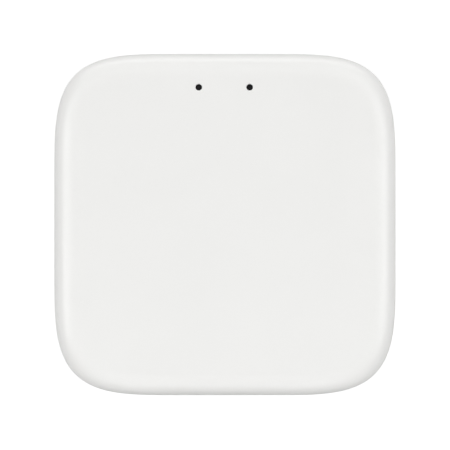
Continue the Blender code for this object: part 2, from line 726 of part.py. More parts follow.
def make_reset_switch():
    """A side-push key switch: moulded body, steel front plate, plunger and snap dome."""
    centre = Vector((BUTTON_X, 0, PART_Z + SWITCH_HEIGHT / 2))
    half_x, half_z = SWITCH_WIDTH / 2, SWITCH_HEIGHT / 2
    pocket_x, pocket_z, pocket_depth = 2.2 * MM, 1.2 * MM, 2.0 * MM
    body = piece(
        "switch_body",
        box((-half_x, SWITCH_BACK_Y, -half_z), (half_x, SWITCH_FRONT_Y, half_z)),
        black_epoxy,
        at=centre,
    )
    bevel(body, 0.15 * MM, 1)
    pocket = tool(
        "switch_pocket",
        box(
            (-pocket_x, SWITCH_FRONT_Y - pocket_depth, -pocket_z),
            (pocket_x, SWITCH_FRONT_Y + GAP, pocket_z),
        ),
    )
    pocket.location = centre
    boolean(body, pocket, "DIFFERENCE")

    plate_y = SWITCH_FRONT_Y + FIT_GAP
    plate = piece(
        "switch_front_plate",
        box((-half_x, plate_y, -half_z), (half_x, plate_y + SWITCH_PLATE, half_z)),
        tinned_steel,
        at=centre,
    )
    window_x, window_z = PLUNGER_WIDTH / 2 + 0.15 * MM, PLUNGER_HEIGHT / 2 + 0.15 * MM
    window = tool(
        "switch_window",
        box((-window_x, plate_y - GAP, -window_z), (window_x, plate_y + SWITCH_PLATE + GAP, window_z)),
    )
    window.location = centre
    boolean(plate, window, "DIFFERENCE")

    collar_front_y = SWITCH_FRONT_Y - FIT_GAP
    collar_back_y = collar_front_y - 0.6 * MM
    plunger = piece(
        "switch_plunger",
        box(
            (-PLUNGER_WIDTH / 2, collar_back_y - 0.4 * MM, -PLUNGER_HEIGHT / 2),
            (PLUNGER_WIDTH / 2, PLUNGER_TIP_Y, PLUNGER_HEIGHT / 2),
        ),
        cream_plastic,
        at=centre,
    )
    half_x, half_z = 1.9 * MM, 1.0 * MM
    collar_shape = box((-half_x, collar_back_y, -half_z), (half_x, collar_front_y, half_z))
    collar = tool("plunger_collar", collar_shape)
    collar.location = centre
    boolean(plunger, collar, "UNION")

    dome_back_y = SWITCH_FRONT_Y - pocket_depth + FIT_GAP
    radius, rise, steps = 1.05 * MM, 0.35 * MM, 4
    arc = [(radius * step / steps, rise * (1 - (step / steps) ** 2)) for step in range(steps + 1)]
    dome = piece("switch_dome", profile(arc), tinned_steel, at=centre + dome_back_y * REAR)
    dome.rotation_euler = (-pi / 2, 0, 0)
    turn_profile(dome, 20)
    solidify(dome, 0.15 * MM, 1)


# ---------------------------------------------------------------- the hub

clear_scene()
hub_pieces = new_collection("smart_home_hub")
cutters = new_collection("cutters")
hub = bpy.data.objects.new("hub", None)
hub_pieces.objects.link(hub)

white_plastic = material("white_plastic", (0.86, 0.86, 0.85), 0.5)
grey_plastic = material("grey_plastic", (0.72, 0.72, 0.71), 0.5)
cream_plastic = material("cream_plastic", (0.75, 0.7, 0.6), 0.5)
smoked_plastic = material("smoked_plastic", (0.012, 0.012, 0.013), 0.3)
grey_rubber = material("grey_rubber", (0.3, 0.3, 0.31), 0.85)
black_rubber = material("black_rubber", (0.02, 0.02, 0.02), 0.9)
black_epoxy = material("black_epoxy", (0.025, 0.025, 0.027), 0.55)
green_laminate = material("green_laminate", (0.02, 0.16, 0.07), 0.35)
blue_laminate = material("blue_laminate", (0.015, 0.03, 0.12), 0.35)
label_film = material("label_film", (0.7, 0.71, 0.72), 0.4)
tan_ceramic = material("tan_ceramic", (0.5, 0.33, 0.18), 0.4)
led_body = material("led_body", (0.85, 0.84, 0.78), 0.3)
tinned_steel = material("tinned_steel", (0.72, 0.72, 0.73), 0.3, 1.0)
zinc = material("zinc", (0.6, 0.6, 0.62), 0.35, 1.0)
aluminium = material("aluminium", (0.8, 0.8, 0.82), 0.3, 1.0)
gold = material("gold", (0.85, 0.62, 0.25), 0.25, 1.0)

make_top_cover()
make_bottom_cover()
make_label()
make_feet()
make_housing_screws()
make_main_board()
make_radio_module(
    "zigbee_module",
    centre=(-8.6 * MM, -15.5 * MM),
    size=(14.6 * MM, 21 * MM),
    shield_size=(13 * MM, 13.4 * MM),
    shield_y=-12 * MM,
)
make_radio_module(
    "wifi_module",
    centre=(8.6 * MM, -17.2 * MM),
    size=(15 * MM, 17.6 * MM),
    shield_size=(12.6 * MM, 10.4 * MM),
    shield_y=-14 * MM,
)
make_voltage_regulator()
make_block("input_fuse", (4.6, 3.2, 1.0), (4.5, 16.5), green_laminate, 0.1)
make_block("surge_diode", (4.4, 2.6, 2.1), (-1.5, 16.5), black_epoxy, 0.2)
make_block("output_capacitor", (3.6, 2.8, 1.9), (-9, 7.5), cream_plastic, 0.15)
make_block("zigbee_capacitor", (2.0, 1.25, 1.0), (-8.6, -2.6), tan_ceramic, 0.1)
make_block("wifi_capacitor", (2.0, 1.25, 1.0), (8.6, -6.2), tan_ceramic, 0.1)
make_block("led_resistor_left", (1.6, 0.8, 0.45), (-4.6, 19.6), black_epoxy, 0.06)
make_block("led_resistor_right", (1.6, 0.8, 0.45), (4.4, 19.6), black_epoxy, 0.06)
make_storage_capacitor()
make_status_leds()
make_led_shroud()
make_light_guide()
make_socket_shell()
make_socket_insulator()
make_socket_contacts()
make_reset_button()
make_reset_switch()
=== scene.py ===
"""Looks of the smart home hub: detailed housing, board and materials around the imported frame.

Metres, +Z up, in the frame of the part: +Y is the rear, with the power socket, the reset button
and the two indicator pinholes. The hub is seen from straight above, on a white table.
"""

from math import atan2, copysign, cos, pi, radians, sin, tan

import bmesh
import bpy
from mathutils import Matrix, Vector


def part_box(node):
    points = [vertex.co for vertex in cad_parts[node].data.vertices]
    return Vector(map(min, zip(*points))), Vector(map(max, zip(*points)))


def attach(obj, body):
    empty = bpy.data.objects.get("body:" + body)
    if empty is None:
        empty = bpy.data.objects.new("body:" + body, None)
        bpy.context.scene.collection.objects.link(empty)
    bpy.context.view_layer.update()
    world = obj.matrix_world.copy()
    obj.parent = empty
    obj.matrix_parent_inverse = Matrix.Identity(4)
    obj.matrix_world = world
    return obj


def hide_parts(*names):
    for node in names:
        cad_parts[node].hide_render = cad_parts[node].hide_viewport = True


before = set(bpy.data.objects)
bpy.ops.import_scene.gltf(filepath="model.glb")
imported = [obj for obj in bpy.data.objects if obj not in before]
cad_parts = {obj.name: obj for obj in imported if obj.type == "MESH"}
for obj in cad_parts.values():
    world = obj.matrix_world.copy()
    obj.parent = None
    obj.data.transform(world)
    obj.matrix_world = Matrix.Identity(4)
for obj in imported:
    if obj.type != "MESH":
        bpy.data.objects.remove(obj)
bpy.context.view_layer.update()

MM = 0.001
RIGHT, REAR, UP = Vector((1, 0, 0)), Vector((0, 1, 0)), Vector((0, 0, 1))

# Housing, as the part has it
WIDTH = 60 * MM
CORNER = 22 * MM
CORNER_POWER = 3.8
CORNER_STEPS = 40
WALL = 1.8 * MM
TOP_EDGE_RADIUS = 3.5 * MM
TOP_EDGE_REACH = 4.4 * MM  # the round eases out of the flat top and into the wall
TOP_EDGE_POWER = 2.5
TOP_EDGE_STEPS = 28
BOTTOM_EDGE_RADIUS = 2.2 * MM
TOP_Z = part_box("top_cover")[1].z
COVER_BOTTOM_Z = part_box("top_cover")[0].z
UNDERSIDE_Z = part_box("bottom_cover")[0].z
LIP_TOP_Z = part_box("bottom_cover")[1].z
SEAM_Z = 4.4 * MM
CEILING_Z = TOP_Z - WALL
FLOOR_Z = UNDERSIDE_Z + WALL
GAP = 0.3 * MM
FIT_GAP = 0.1 * MM
LIP_INSET = 1.1 * MM
LIP_THICKNESS = 0.9 * MM
EDGE_SOFTNESS = 0.2 * MM  # the small round on moulded edges
SAME_PLACE = 0.0001 * MM  # points this close are one point
ON_AXIS = 0.004 * MM  # a turned shape closer to its axis than this ends in a point
STRIP_SOFTNESS = 0.03 * MM  # the small round on leads, contacts and solder pads
SHARP_ANGLE = radians(32)
WAVE_PERIOD = 0.314  # of the wave texture, at a scale of 1

# Board, screws, columns and feet
BOARD_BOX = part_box("main_board")
BOARD_Z, BOARD_TOP_Z = BOARD_BOX[0].z, BOARD_BOX[1].z
BOARD_INSET = WALL + 0.6 * MM
PART_Z = BOARD_TOP_Z + FIT_GAP
SCREW_PITCH = 39 * MM
SCREW_RADIUS = 1.0 * MM
COLUMN_RADIUS = 3.2 * MM
COUNTERBORE_RADIUS = 2.3 * MM
COUNTERBORE_TOP_Z = 3.2 * MM
CLEARANCE_RADIUS = 1.3 * MM
BOSS_RADIUS = 2.6 * MM
PILOT_RADIUS = 1.15 * MM
PILOT_TOP_Z = 11.4 * MM
BOARD_HOLE_RADIUS = 1.5 * MM
FOOT_RADIUS = 4.5 * MM
FOOT_RECESS_TOP_Z = 1.6 * MM

# Indicators, socket and button
INDICATOR_MID_X = -0.13 * MM
INDICATOR_PITCH = 8.9 * MM
INDICATOR_Y = 24 * MM
INDICATOR_HOLE_RADIUS = 0.57 * MM
LED_Y = 22.6 * MM
STAKE_REACH = 1.8 * MM  # the light guide's stakes, either side of the indicators' middle
STAKE_Y = 23.2 * MM
SOCKET_MOUTH_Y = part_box("usb_socket_shell")[1].y
SOCKET_BACK_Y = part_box("usb_socket_shell")[0].y
SOCKET_WIDTH = 7.5 * MM
SOCKET_BASE_WIDTH = 5.4 * MM
SOCKET_HEIGHT = 2.6 * MM
SOCKET_SHEET = 0.3 * MM
SOCKET_Z = PART_Z + SOCKET_HEIGHT / 2
CONTACT_COUNT = 5
BUTTON_X = 12 * MM
BUTTON_Z = 8.2 * MM
BUTTON_RADIUS = 1.8 * MM
BUTTON_HOLE_RADIUS = BUTTON_RADIUS + GAP
BUTTON_NOTCH_HALF_WIDTH = 1.5 * MM  # a notch in the board's rear edge clears the cap
BUTTON_NOTCH_Y = 26.4 * MM

FOIL = 0.035 * MM  # thickness of the tracks and antennas
FOIL_SINK = 0.01 * MM  # how far they sink into what they lie on

# The camera looks straight down; a long lens keeps the walls out of sight
CAMERA_HEIGHT = 0.6
VIEW_WIDTH = 79.2 * MM  # across the frame, at the height where the housing is widest
VIEW_CENTRE = (0.01 * MM, -0.075 * MM)
SENSOR = 36.0
WIDEST_Z = TOP_Z - TOP_EDGE_REACH

TABLE_RADIUS = 2.0
TABLE_COLOUR = (0.55, 0.55, 0.55)
TABLE_GLOW = 0.62  # lifts the table to white in view; it lights nothing
SHADE_GLOW = 0.2  # the weaker glow in the hub's footprint, which also lights its underside
SHADE_REACH = WIDTH / 2 - 1.5 * MM
SHADE_POWER = 5
WORLD_COLOUR = (1.0, 1.0, 0.99)
WORLD_STRENGTH = 0.15
LIGHT_DISTANCE = 0.9
LIGHTS = (
    # name, direction round from the right, height angle, width, height, power
    ("left_low", 180, 35, 0.5, 0.28, 2.36),
    ("left_high", 180, 55, 0.5, 0.28, 1.52),
    ("right_low", 0, 35, 0.5, 0.28, 2.44),
    ("right_high", 0, 55, 0.5, 0.28, 0.94),
    ("front_low", -90, 35, 0.5, 0.28, 1.46),
    ("front_high", -90, 70, 0.5, 0.28, 0.97),
    ("rear_wide", 90, 3, 1.6, 0.06, 4.55),
    ("rear_right", 45, 60, 0.5, 0.28, 0.76),
)


# ---- Outlines


def soft_square(inset, z):
    """The housing's outline at height z, drawn in by inset: corners that ease into straight sides."""
    centre = WIDTH / 2 - CORNER
    points = []
    for quarter in range(4):
        turn = Matrix.Rotation(quarter * pi / 2, 3, "Z")
        for step in range(CORNER_STEPS + 1):
            angle = pi / 2 * step / CORNER_STEPS
            across, along = max(0.0, cos(angle)) ** (2 / CORNER_POWER), sin(angle) ** (2 / CORNER_POWER)
            outwards = Vector((across, along, 0)).normalized()
            outwards = Vector([share ** (CORNER_POWER - 1) for share in outwards]).normalized()
            point = Vector((centre + CORNER * across, centre + CORNER * along, 0)) - inset * outwards
            points.append(turn @ point + z * UP)
    return points


def arc(inset, z, radius, start, end, steps):
    """Points (inset, z) along a round, from one angle to another; 0 faces outwards and 90 up."""
    turns = [radians(start + (end - start) * step / steps) for step in range(steps + 1)]
    return [(inset - radius * cos(turn), z + radius * sin(turn)) for turn in turns]


def rounded(outline, radius, steps=5):
    """A convex outline, listed anticlockwise as (x, y), with its corners rounded."""
    made = []
    points = [Vector(point) for point in outline]
    for before, here, after in zip(points[-1:] + points, points, points[1:] + points):
        back, on = (before - here).normalized(), (after - here).normalized()
        half = back.angle(on) / 2
        reach = radius / tan(half)
        centre = here + (back + on).normalized() * (radius / sin(half))
        first = here + back * reach - centre
        turn = (here + on * reach - centre).angle_signed(first)
        for step in range(steps + 1):
            made.append(centre + Matrix.Rotation(turn * step / steps, 2) @ first)
    return made


def circle(radius, height, steps=48):
    turns = [2 * pi * step / steps for step in range(steps)]
    return [Vector((radius * cos(turn), radius * sin(turn), height)) for turn in turns]


def rectangle(width, depth):
    x, y = width / 2, depth / 2
    return [(-x, -y), (x, -y), (x, y), (-x, y)]


def shrunk(outline, inset):
    """A rectangle's corners about the origin, drawn in on every side."""
    return [(x - inset if x > 0 else x + inset, y - inset if y > 0 else y + inset) for x, y in outline]


def socket_section(margin):
    """The socket's outline (x, z): flat top, upright sides, narrower base; a margin lets it out evenly."""
    lean = atan2(SOCKET_WIDTH - SOCKET_BASE_WIDTH, SOCKET_HEIGHT)
    half_top = SOCKET_WIDTH / 2 + margin
    half_base = SOCKET_BASE_WIDTH / 2 + margin * tan(pi / 4 - lean / 2)
    shoulder = SOCKET_Z - margin * tan(lean / 2)
    top = SOCKET_Z + SOCKET_HEIGHT / 2 + margin
    bottom = SOCKET_Z - SOCKET_HEIGHT / 2 - margin
    return [
        (-half_base, bottom),
        (half_base, bottom),
        (half_top, shoulder),
        (half_top, top),
        (-half_top, top),
        (-half_top, shoulder),
    ]


def upright(outline, y):
    """The points of an (x, z) outline, standing up at y."""
    return [Vector((x, y, z)) for x, z in outline]


def level(outline, z, middle=Vector()):
    """The points of an (x, y) outline, lying at height z round a middle."""
    return [Vector((middle.x + x, middle.y + y, z)) for x, y in outline]


def placed(x, y, z=0.0):
    return Matrix.Translation((x, y, z))


def facing_rear(x, y, z):
    """The place of a turned shape whose height runs towards the rear."""
    return placed(x, y, z) @ Matrix.Rotation(-pi / 2, 4, "X")


def corners():
    """The four screws and feet: name, x, y."""
    for row, sy in (("front", -1), ("rear", 1)):
        for side, sx in (("left", -1), ("right", 1)):
            yield f"{row}_{side}", sx * SCREW_PITCH / 2, sy * SCREW_PITCH / 2


def indicator_places():
    for side, sx in (("left", -1), ("right", 1)):
        yield side, INDICATOR_MID_X + sx * INDICATOR_PITCH / 2


# ---- Mesh tools


def add_loft(shape, rings, place=Matrix(), closed=False):
    """Joins rings of equal length; the ends are capped, or joined to each other when closed."""
    loops = [[shape.verts.new(place @ Vector(point)) for point in ring] for ring in rings]
    pairs = list(zip(loops, loops[1:]))
    if closed:
        pairs.append((loops[-1], loops[0]))
    count = len(loops[0])
    made = []
    for low, high in pairs:
        for index in range(count):
            after = (index + 1) % count
            made.append(shape.faces.new((low[index], low[after], high[after], high[index])))
    if not closed:
        made.append(shape.faces.new(loops[0][::-1]))
        made.append(shape.faces.new(loops[-1]))
    bmesh.ops.recalc_face_normals(shape, faces=made)
    return [point for loop in loops for point in loop]


def loft(rings):
    shape = bmesh.new()
    add_loft(shape, rings)
    return shape


def add_turned(shape, profile, place=Matrix(), steps=48):
    """Adds a solid of revolution from (radius, height) points; a ring on the axis becomes one point."""
    rings = [circle(max(radius, ON_AXIS), height, steps) for radius, height in profile]
    made = add_loft(shape, rings, place)
    for index, (radius, height) in enumerate(profile):
        if radius < ON_AXIS:
            ring = made[index * steps : (index + 1) * steps]
            bmesh.ops.pointmerge(shape, verts=ring, merge_co=place @ Vector((0, 0, height)))


def turned(profile, place=Matrix(), steps=48):
    shape = bmesh.new()
    add_turned(shape, profile, place, steps)
    return shape


def add_cylinder(shape, radius, start, end, steps=48):
    start, end = Vector(start), Vector(end)
    along = end - start
    turn = UP.rotation_difference(along).to_matrix().to_4x4()
    add_turned(shape, [(radius, 0), (radius, along.length)], placed(*start) @ turn, steps)


def add_at_corners(shape, profile, steps=48):
    for _, x, y in corners():
        add_turned(shape, profile, placed(x, y), steps)


def soften(shape, points, softness, segments=2, clamp=False):
    """Rounds every edge that runs between these points of a shape."""
    edges = list({edge for point in points for edge in point.link_edges})
    settings = {"segments": segments, "profile": 0.5, "affect": "EDGES", "clamp_overlap": clamp}
    bmesh.ops.bevel(shape, geom=edges, offset=softness, **settings)


def add_box(shape, low, high, radius=0.0, segments=2):
    """Adds a box, with its edges rounded if a radius is given."""
    low, high = Vector(low), Vector(high)
    matrix = Matrix.Translation((low + high) / 2) @ Matrix.Diagonal((*(high - low), 1))
    points = bmesh.ops.create_cube(shape, size=1, matrix=matrix)["verts"]
    if radius:
        soften(shape, points, radius, segments, clamp=True)
    return points


def add_bar(shape, middle, half_x, half_z, y_ends, radius=0.0, segments=2):
    """Adds a box that runs along y, centred in x and z."""
    low, high = ((middle.x + s * half_x, y, middle.z + s * half_z) for s, y in zip((-1, 1), y_ends))
    add_box(shape, low, high, radius, segments)


def add_pad(shape, x_ends, y_ends, top, softness=STRIP_SOFTNESS):
    """Adds a flat pad on the board; its ends are given in any order."""
    (x0, x1), (y0, y1) = sorted(x_ends), sorted(y_ends)
    add_box(shape, (x0, y0, BOARD_TOP_Z), (x1, y1, top), softness)


def add_strip(shape, side, step):
    """Adds a bent metal strip: its side outline, drawn out by step, with soft edges."""
    soften(shape, add_loft(shape, [side, [point + step for point in side]]), STRIP_SOFTNESS)


def box(low, high, radius=0.0, segments=2):
    shape = bmesh.new()
    add_box(shape, low, high, radius, segments)
    return shape


def add_slab(shape, outline, low, high, place=Matrix(), softness=0.0):
    """Draws a flat outline out from low to high, with its upper edge rounded if softness is given."""
    points = [Vector((x, y, 0)) for x, y in outline]
    middle = sum(points, Vector()) / len(points)
    rings = [[point + low * UP for point in points]]
    if softness:
        for inset, z in arc(softness, high - softness, softness, 0, 90, 3):
            rings.append([drawn_in(point, middle, inset) + z * UP for point in points])
    else:
        rings.append([point + high * UP for point in points])
    add_loft(shape, rings, place)


def drawn_in(point, middle, distance):
    """Moves a point towards the middle of its outline, by the same distance in x and y."""
    offset = point - middle
    return middle + Vector([copysign(max(abs(way) - distance, 0), way) for way in offset])


def finished_mesh(name, shape):
    mesh = bpy.data.meshes.new(name)
    shape.to_mesh(mesh)
    shape.free()
    mesh.shade_smooth()
    mesh.set_sharp_from_angle(angle=SHARP_ANGLE)
    return mesh


def linked(name, data):
    """A new object in the scene."""
    made = bpy.data.objects.new(name, data)
    bpy.context.scene.collection.objects.link(made)
    return made


def carved(name, shape, add, cut):
    """A mesh after its Booleans: some shapes joined on, then some cut away."""
    base = linked(name, finished_mesh(name, shape))
    helpers = []
    steps = [(other, "UNION") for other in add] + [(other, "DIFFERENCE") for other in cut]
    for other, operation in steps:
        helpers.append(linked("helper", finished_mesh("helper", other)))
        step = base.modifiers.new(operation, "BOOLEAN")
        step.operation = operation
        step.object = helpers[-1]
        step.solver = "EXACT"
    evaluated = base.evaluated_get(bpy.context.evaluated_depsgraph_get())
    mesh = bpy.data.meshes.new_from_object(evaluated)
    for thing in (base, *helpers):
        bpy.data.objects.remove(thing)
    cleaned = bmesh.new()
    cleaned.from_mesh(mesh)
    bpy.data.meshes.remove(mesh)
    bmesh.ops.remove_doubles(cleaned, verts=cleaned.verts, dist=SAME_PLACE)
    bmesh.ops.dissolve_degenerate(cleaned, edges=cleaned.edges, dist=SAME_PLACE)
    return finished_mesh(name, cleaned)


def show(name, shape, slot, body="housing", replaces=(), add=(), cut=(), finish=None):
    """Puts a finished piece in the scene, on its body, in place of the CAD nodes that it stands for."""
    mesh = carved(name, shape, add, cut) if add or cut else finished_mesh(name, shape)
    made = linked(name, mesh)
    mesh.materials.append(FINISHES[finish or slot])
    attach(made, body)
    if replaces:
        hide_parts(*replaces)
    return made


# ---- Materials


class Finish:
    """A procedural material in the making. Sizes are in metres, on the object itself."""

    def __init__(self, name, metallic=0.0, **constants):
        self.material = bpy.data.materials.new(name)
        self.material.use_nodes = True
        self.tree = self.material.node_tree
        self.shader = self.tree.nodes["Principled BSDF"]
        self.shader.inputs["Metallic"].default_value = metallic
        for socket, value in constants.items():
            self.shader.inputs[socket.replace("_", " ")].default_value = value
        self.place = self.node("ShaderNodeTexCoord").outputs["Object"]

    def node(self, kind, links=None, **settings):
        made = self.tree.nodes.new(kind)
        for name, value in settings.items():
            setattr(made, name, value)
        for socket, value in (links or {}).items():
            if isinstance(value, bpy.types.NodeSocket):
                self.tree.links.new(value, made.inputs[socket])
            else:
                made.inputs[socket].default_value = value
        return made

    def stretched(self, x, y, z):
        links = {"Vector": self.place, "Scale": (x, y, z)}
        return self.node("ShaderNodeMapping", links).outputs["Vector"]

    def noise(self, size, detail=3.0, place=None, distortion=0.0):
        links = {"Vector": place or self.place, "Scale": 1 / size}
        links |= {"Detail": detail, "Distortion": distortion}
        return self.node("ShaderNodeTexNoise", links).outputs["Fac"]

    def cells(self, size, feature="F1", output="Distance"):
        links = {"Vector": self.place, "Scale": 1 / size}
        return self.node("ShaderNodeTexVoronoi", links, feature=feature).outputs[output]

    def waves(self, size, direction):
        links = {"Vector": self.place, "Scale": WAVE_PERIOD / size, "Distortion": 0.0}
        made = self.node("ShaderNodeTexWave", links, bands_direction=direction)
        return made.outputs["Fac"]

    def math(self, operation, first, second):
        return self.node("ShaderNodeMath", {0: first, 1: second}, operation=operation).outputs["Value"]

    def spread(self, value, low, high, start=0.3, end=0.7):
        links = {"Value": value, "From Min": start, "From Max": end, "To Min": low, "To Max": high}
        return self.node("ShaderNodeMapRange", links).outputs["Result"]

    def mix(self, factor, first, second):
        made = self.node("ShaderNodeMix", data_type="RGBA")
        pairs = ((made.inputs["Factor"], factor), (made.inputs[6], first), (made.inputs[7], second))
        for socket, value in pairs:
            if isinstance(value, bpy.types.NodeSocket):
                self.tree.links.new(value, socket)
            else:
                socket.default_value = (*value, 1.0) if isinstance(value, tuple) else value
        return made.outputs[2]

    def mottled(self, value, colour, dark, light):
        """The colour, from dark to light times itself as the value rises."""
        return self.mix(self.spread(value, 0.0, 1.0), tint(colour, dark), tint(colour, light))

    def bump(self, height, depth, below=None):
        links = {"Height": height, "Distance": depth, "Strength": 1.0}
        if below:
            links["Normal"] = below
        return self.node("ShaderNodeBump", links).outputs["Normal"]

    def done(self, colour, roughness, normal=None):
        for socket, value in (("Base Color", colour), ("Roughness", roughness), ("Normal", normal)):
            if value is not None:
                self.tree.links.new(value, self.shader.inputs[socket])
        return self.material


def tint(colour, amount):
    return tuple(channel * amount for channel in colour)


def moulded_plastic(name, colour, depth=0.8e-6, contrast=0.008):
    """Satin moulding: a spark-eroded grain, faint flow marks and slightly uneven gloss."""
    finish = Finish(name)
    flow = finish.noise(14 * MM, detail=2.0, distortion=0.6)
    speck = finish.noise(0.35 * MM, detail=2.0)
    base = finish.mottled(flow, colour, 1 - contrast, 1 + contrast / 2)
    base = finish.mix(finish.spread(speck, 0.0, 0.12, 0.45, 0.75), base, tint(colour, 0.93))
    grain = finish.noise(0.09 * MM, detail=2.0)
    pores = finish.cells(0.16 * MM, feature="SMOOTH_F1")
    normal = finish.bump(pores, depth, finish.bump(grain, depth))
    return finish.done(base, finish.spread(finish.noise(2.5 * MM), 0.36, 0.42), normal)


def rubber(name, colour):
    """Dusty elastomer with a pebbled skin."""
    finish = Finish(name, Specular_IOR_Level=0.35)
    dust = finish.noise(2.2 * MM, detail=5.0)
    base = finish.mix(finish.spread(dust, 0.0, 1.0, 0.4, 0.7), colour, tint(colour, 1.35))
    pebbles = finish.cells(0.14 * MM, feature="SMOOTH_F1")
    normal = finish.bump(pebbles, 6e-6, finish.bump(finish.noise(0.05 * MM), 3e-6))
    return finish.done(base, finish.spread(dust, 0.7, 0.9), normal)


def laminate(name, colour):
    """Circuit board: solder mask over a glass weave whose threads just show through."""
    finish = Finish(name, Coat_Weight=0.4, Coat_Roughness=0.2)
    weave = finish.math("MULTIPLY", finish.waves(0.55 * MM, "X"), finish.waves(0.45 * MM, "Y"))
    cloud = finish.noise(6 * MM, detail=4.0)
    base = finish.mottled(cloud, colour, 0.85, 1.15)
    base = finish.mix(finish.spread(weave, 0.0, 0.5, 0.0, 1.0), base, tint(colour, 1.5))
    normal = finish.bump(weave, 4e-6, finish.bump(finish.noise(0.2 * MM), 2e-6))
    return finish.done(base, finish.spread(cloud, 0.3, 0.42), normal)


def rolled_metal(name, colour, rough, stretch=(1, 14, 1)):
    """Plated sheet: fine rolling lines along one way, blotched plating and small scuffs."""
    finish = Finish(name, metallic=1.0)
    lines = finish.noise(0.12 * MM, detail=3.0, place=finish.stretched(*(1 / step for step in stretch)))
    blotch = finish.noise(2.6 * MM, detail=4.0)
    scuff = finish.noise(0.7 * MM, detail=6.0, distortion=1.2)
    base = finish.mottled(blotch, colour, 0.86, 1)
    base = finish.mix(finish.spread(scuff, 0.0, 0.5, 0.6, 0.75), base, tint(colour, 0.7))
    worn = finish.spread(finish.math("ADD", lines, scuff), *rough, 0.7, 1.3)
    return finish.done(base, worn, finish.bump(lines, 0.6e-6))


def moulding_compound(name, colour):
    """Filled epoxy of chip packages: matt, with glinting filler grains."""
    finish = Finish(name)
    grains = finish.cells(0.07 * MM, output="Color")
    tone = finish.node("ShaderNodeSeparateColor", {"Color": grains}).outputs["Red"]
    cloud = finish.noise(1.8 * MM, detail=4.0)
    base = finish.mottled(cloud, colour, 0.8, 1.2)
    base = finish.mix(finish.spread(tone, 0.0, 0.6, 0.82, 1.0), base, tint(colour, 2.4))
    normal = finish.bump(tone, 2e-6, finish.bump(finish.noise(0.12 * MM), 3e-6))
    return finish.done(base, finish.spread(cloud, 0.5, 0.68), normal)


def fired_ceramic(name, colour):
    """Layered ceramic, clouded, with thin dark lines between its layers."""
    finish = Finish(name)
    layers = finish.waves(0.05 * MM, "Z")
    cloud = finish.noise(0.5 * MM, detail=5.0)
    base = finish.mottled(cloud, colour, 0.8, 1.15)
    base = finish.mix(finish.spread(layers, 0.0, 0.15, 0.0, 1.0), base, tint(colour, 0.6))
    return finish.done(base, finish.spread(cloud, 0.35, 0.5), finish.bump(cloud, 4e-6))


def coated_film(name, colour):
    """Blank polyester label: a faint fibre in the adhesive under a matt top coat."""
    finish = Finish(name)
    fibre = finish.noise(0.3 * MM, detail=5.0, place=finish.stretched(1, 0.25, 1))
    cloud = finish.noise(7 * MM, detail=3.0)
    base = finish.mottled(fibre, colour, 0.96, 1.02)
    base = finish.mix(finish.spread(cloud, 0.0, 0.4), base, tint(colour, 0.94))
    normal = finish.bump(fibre, 2e-6, finish.bump(cloud, 10e-6))
    return finish.done(base, finish.spread(fibre, 0.4, 0.55), normal)


def smoked_plastic(name):
    """Dark polycarbonate: almost black, faintly streaked, with a dull skin."""
    finish = Finish(name, Specular_IOR_Level=0.12)
    streak = finish.noise(0.9 * MM, detail=3.0, place=finish.stretched(1, 1, 0.3))
    base = finish.mix(finish.spread(streak, 0.0, 1.0), (0.006, 0.006, 0.007), (0.012, 0.011, 0.011))
    return finish.done(base, finish.spread(streak, 0.4, 0.55), finish.bump(streak, 2e-6))


def lamp_lens(name):
    """Glossy yellowish resin, uneven in depth."""
    finish = Finish(name, Coat_Weight=0.6, Coat_Roughness=0.08)
    depth = finish.cells(0.22 * MM, feature="SMOOTH_F1")
    base = finish.mix(finish.spread(depth, 0.0, 1.0, 0.1, 0.7), (0.9, 0.86, 0.62), (0.86, 0.86, 0.82))
    return finish.done(base, finish.spread(depth, 0.15, 0.3, 0.1, 0.7), finish.bump(depth, 3e-6))


WHITE = (0.86, 0.858, 0.844)
STEEL = (0.74, 0.74, 0.75)
FINISHES = {
    slot: make(f"{slot}_finish", *values)
    for slot, make, *values in (
        ("white_plastic", moulded_plastic, WHITE),
        ("grey_plastic", moulded_plastic, (0.74, 0.74, 0.73), 1.6e-6, 0.02),
        ("cream_plastic", moulded_plastic, (0.76, 0.7, 0.58), 0.8e-6, 0.04),
        ("smoked_plastic", smoked_plastic),
        ("grey_rubber", rubber, (0.26, 0.26, 0.27)),
        ("black_rubber", rubber, (0.018, 0.018, 0.018)),
        ("black_epoxy", moulding_compound, (0.024, 0.024, 0.026)),
        ("green_laminate", laminate, (0.016, 0.15, 0.06)),
        ("masked_copper", laminate, (0.04, 0.26, 0.095)),
        ("blue_laminate", laminate, (0.012, 0.03, 0.11)),
        ("label_film", coated_film, (0.7, 0.71, 0.72)),
        ("led_body", lamp_lens),
        ("tan_ceramic", fired_ceramic, (0.5, 0.33, 0.18)),
        ("tinned_steel", rolled_metal, STEEL, (0.24, 0.42)),
        ("zinc", rolled_metal, (0.62, 0.63, 0.66), (0.26, 0.5), (1, 1, 6)),
        ("aluminium", rolled_metal, (0.82, 0.82, 0.84), (0.22, 0.38), (1, 1, 12)),
        ("gold", rolled_metal, (0.88, 0.64, 0.27), (0.18, 0.34)),
    )
}


# ---- Housing


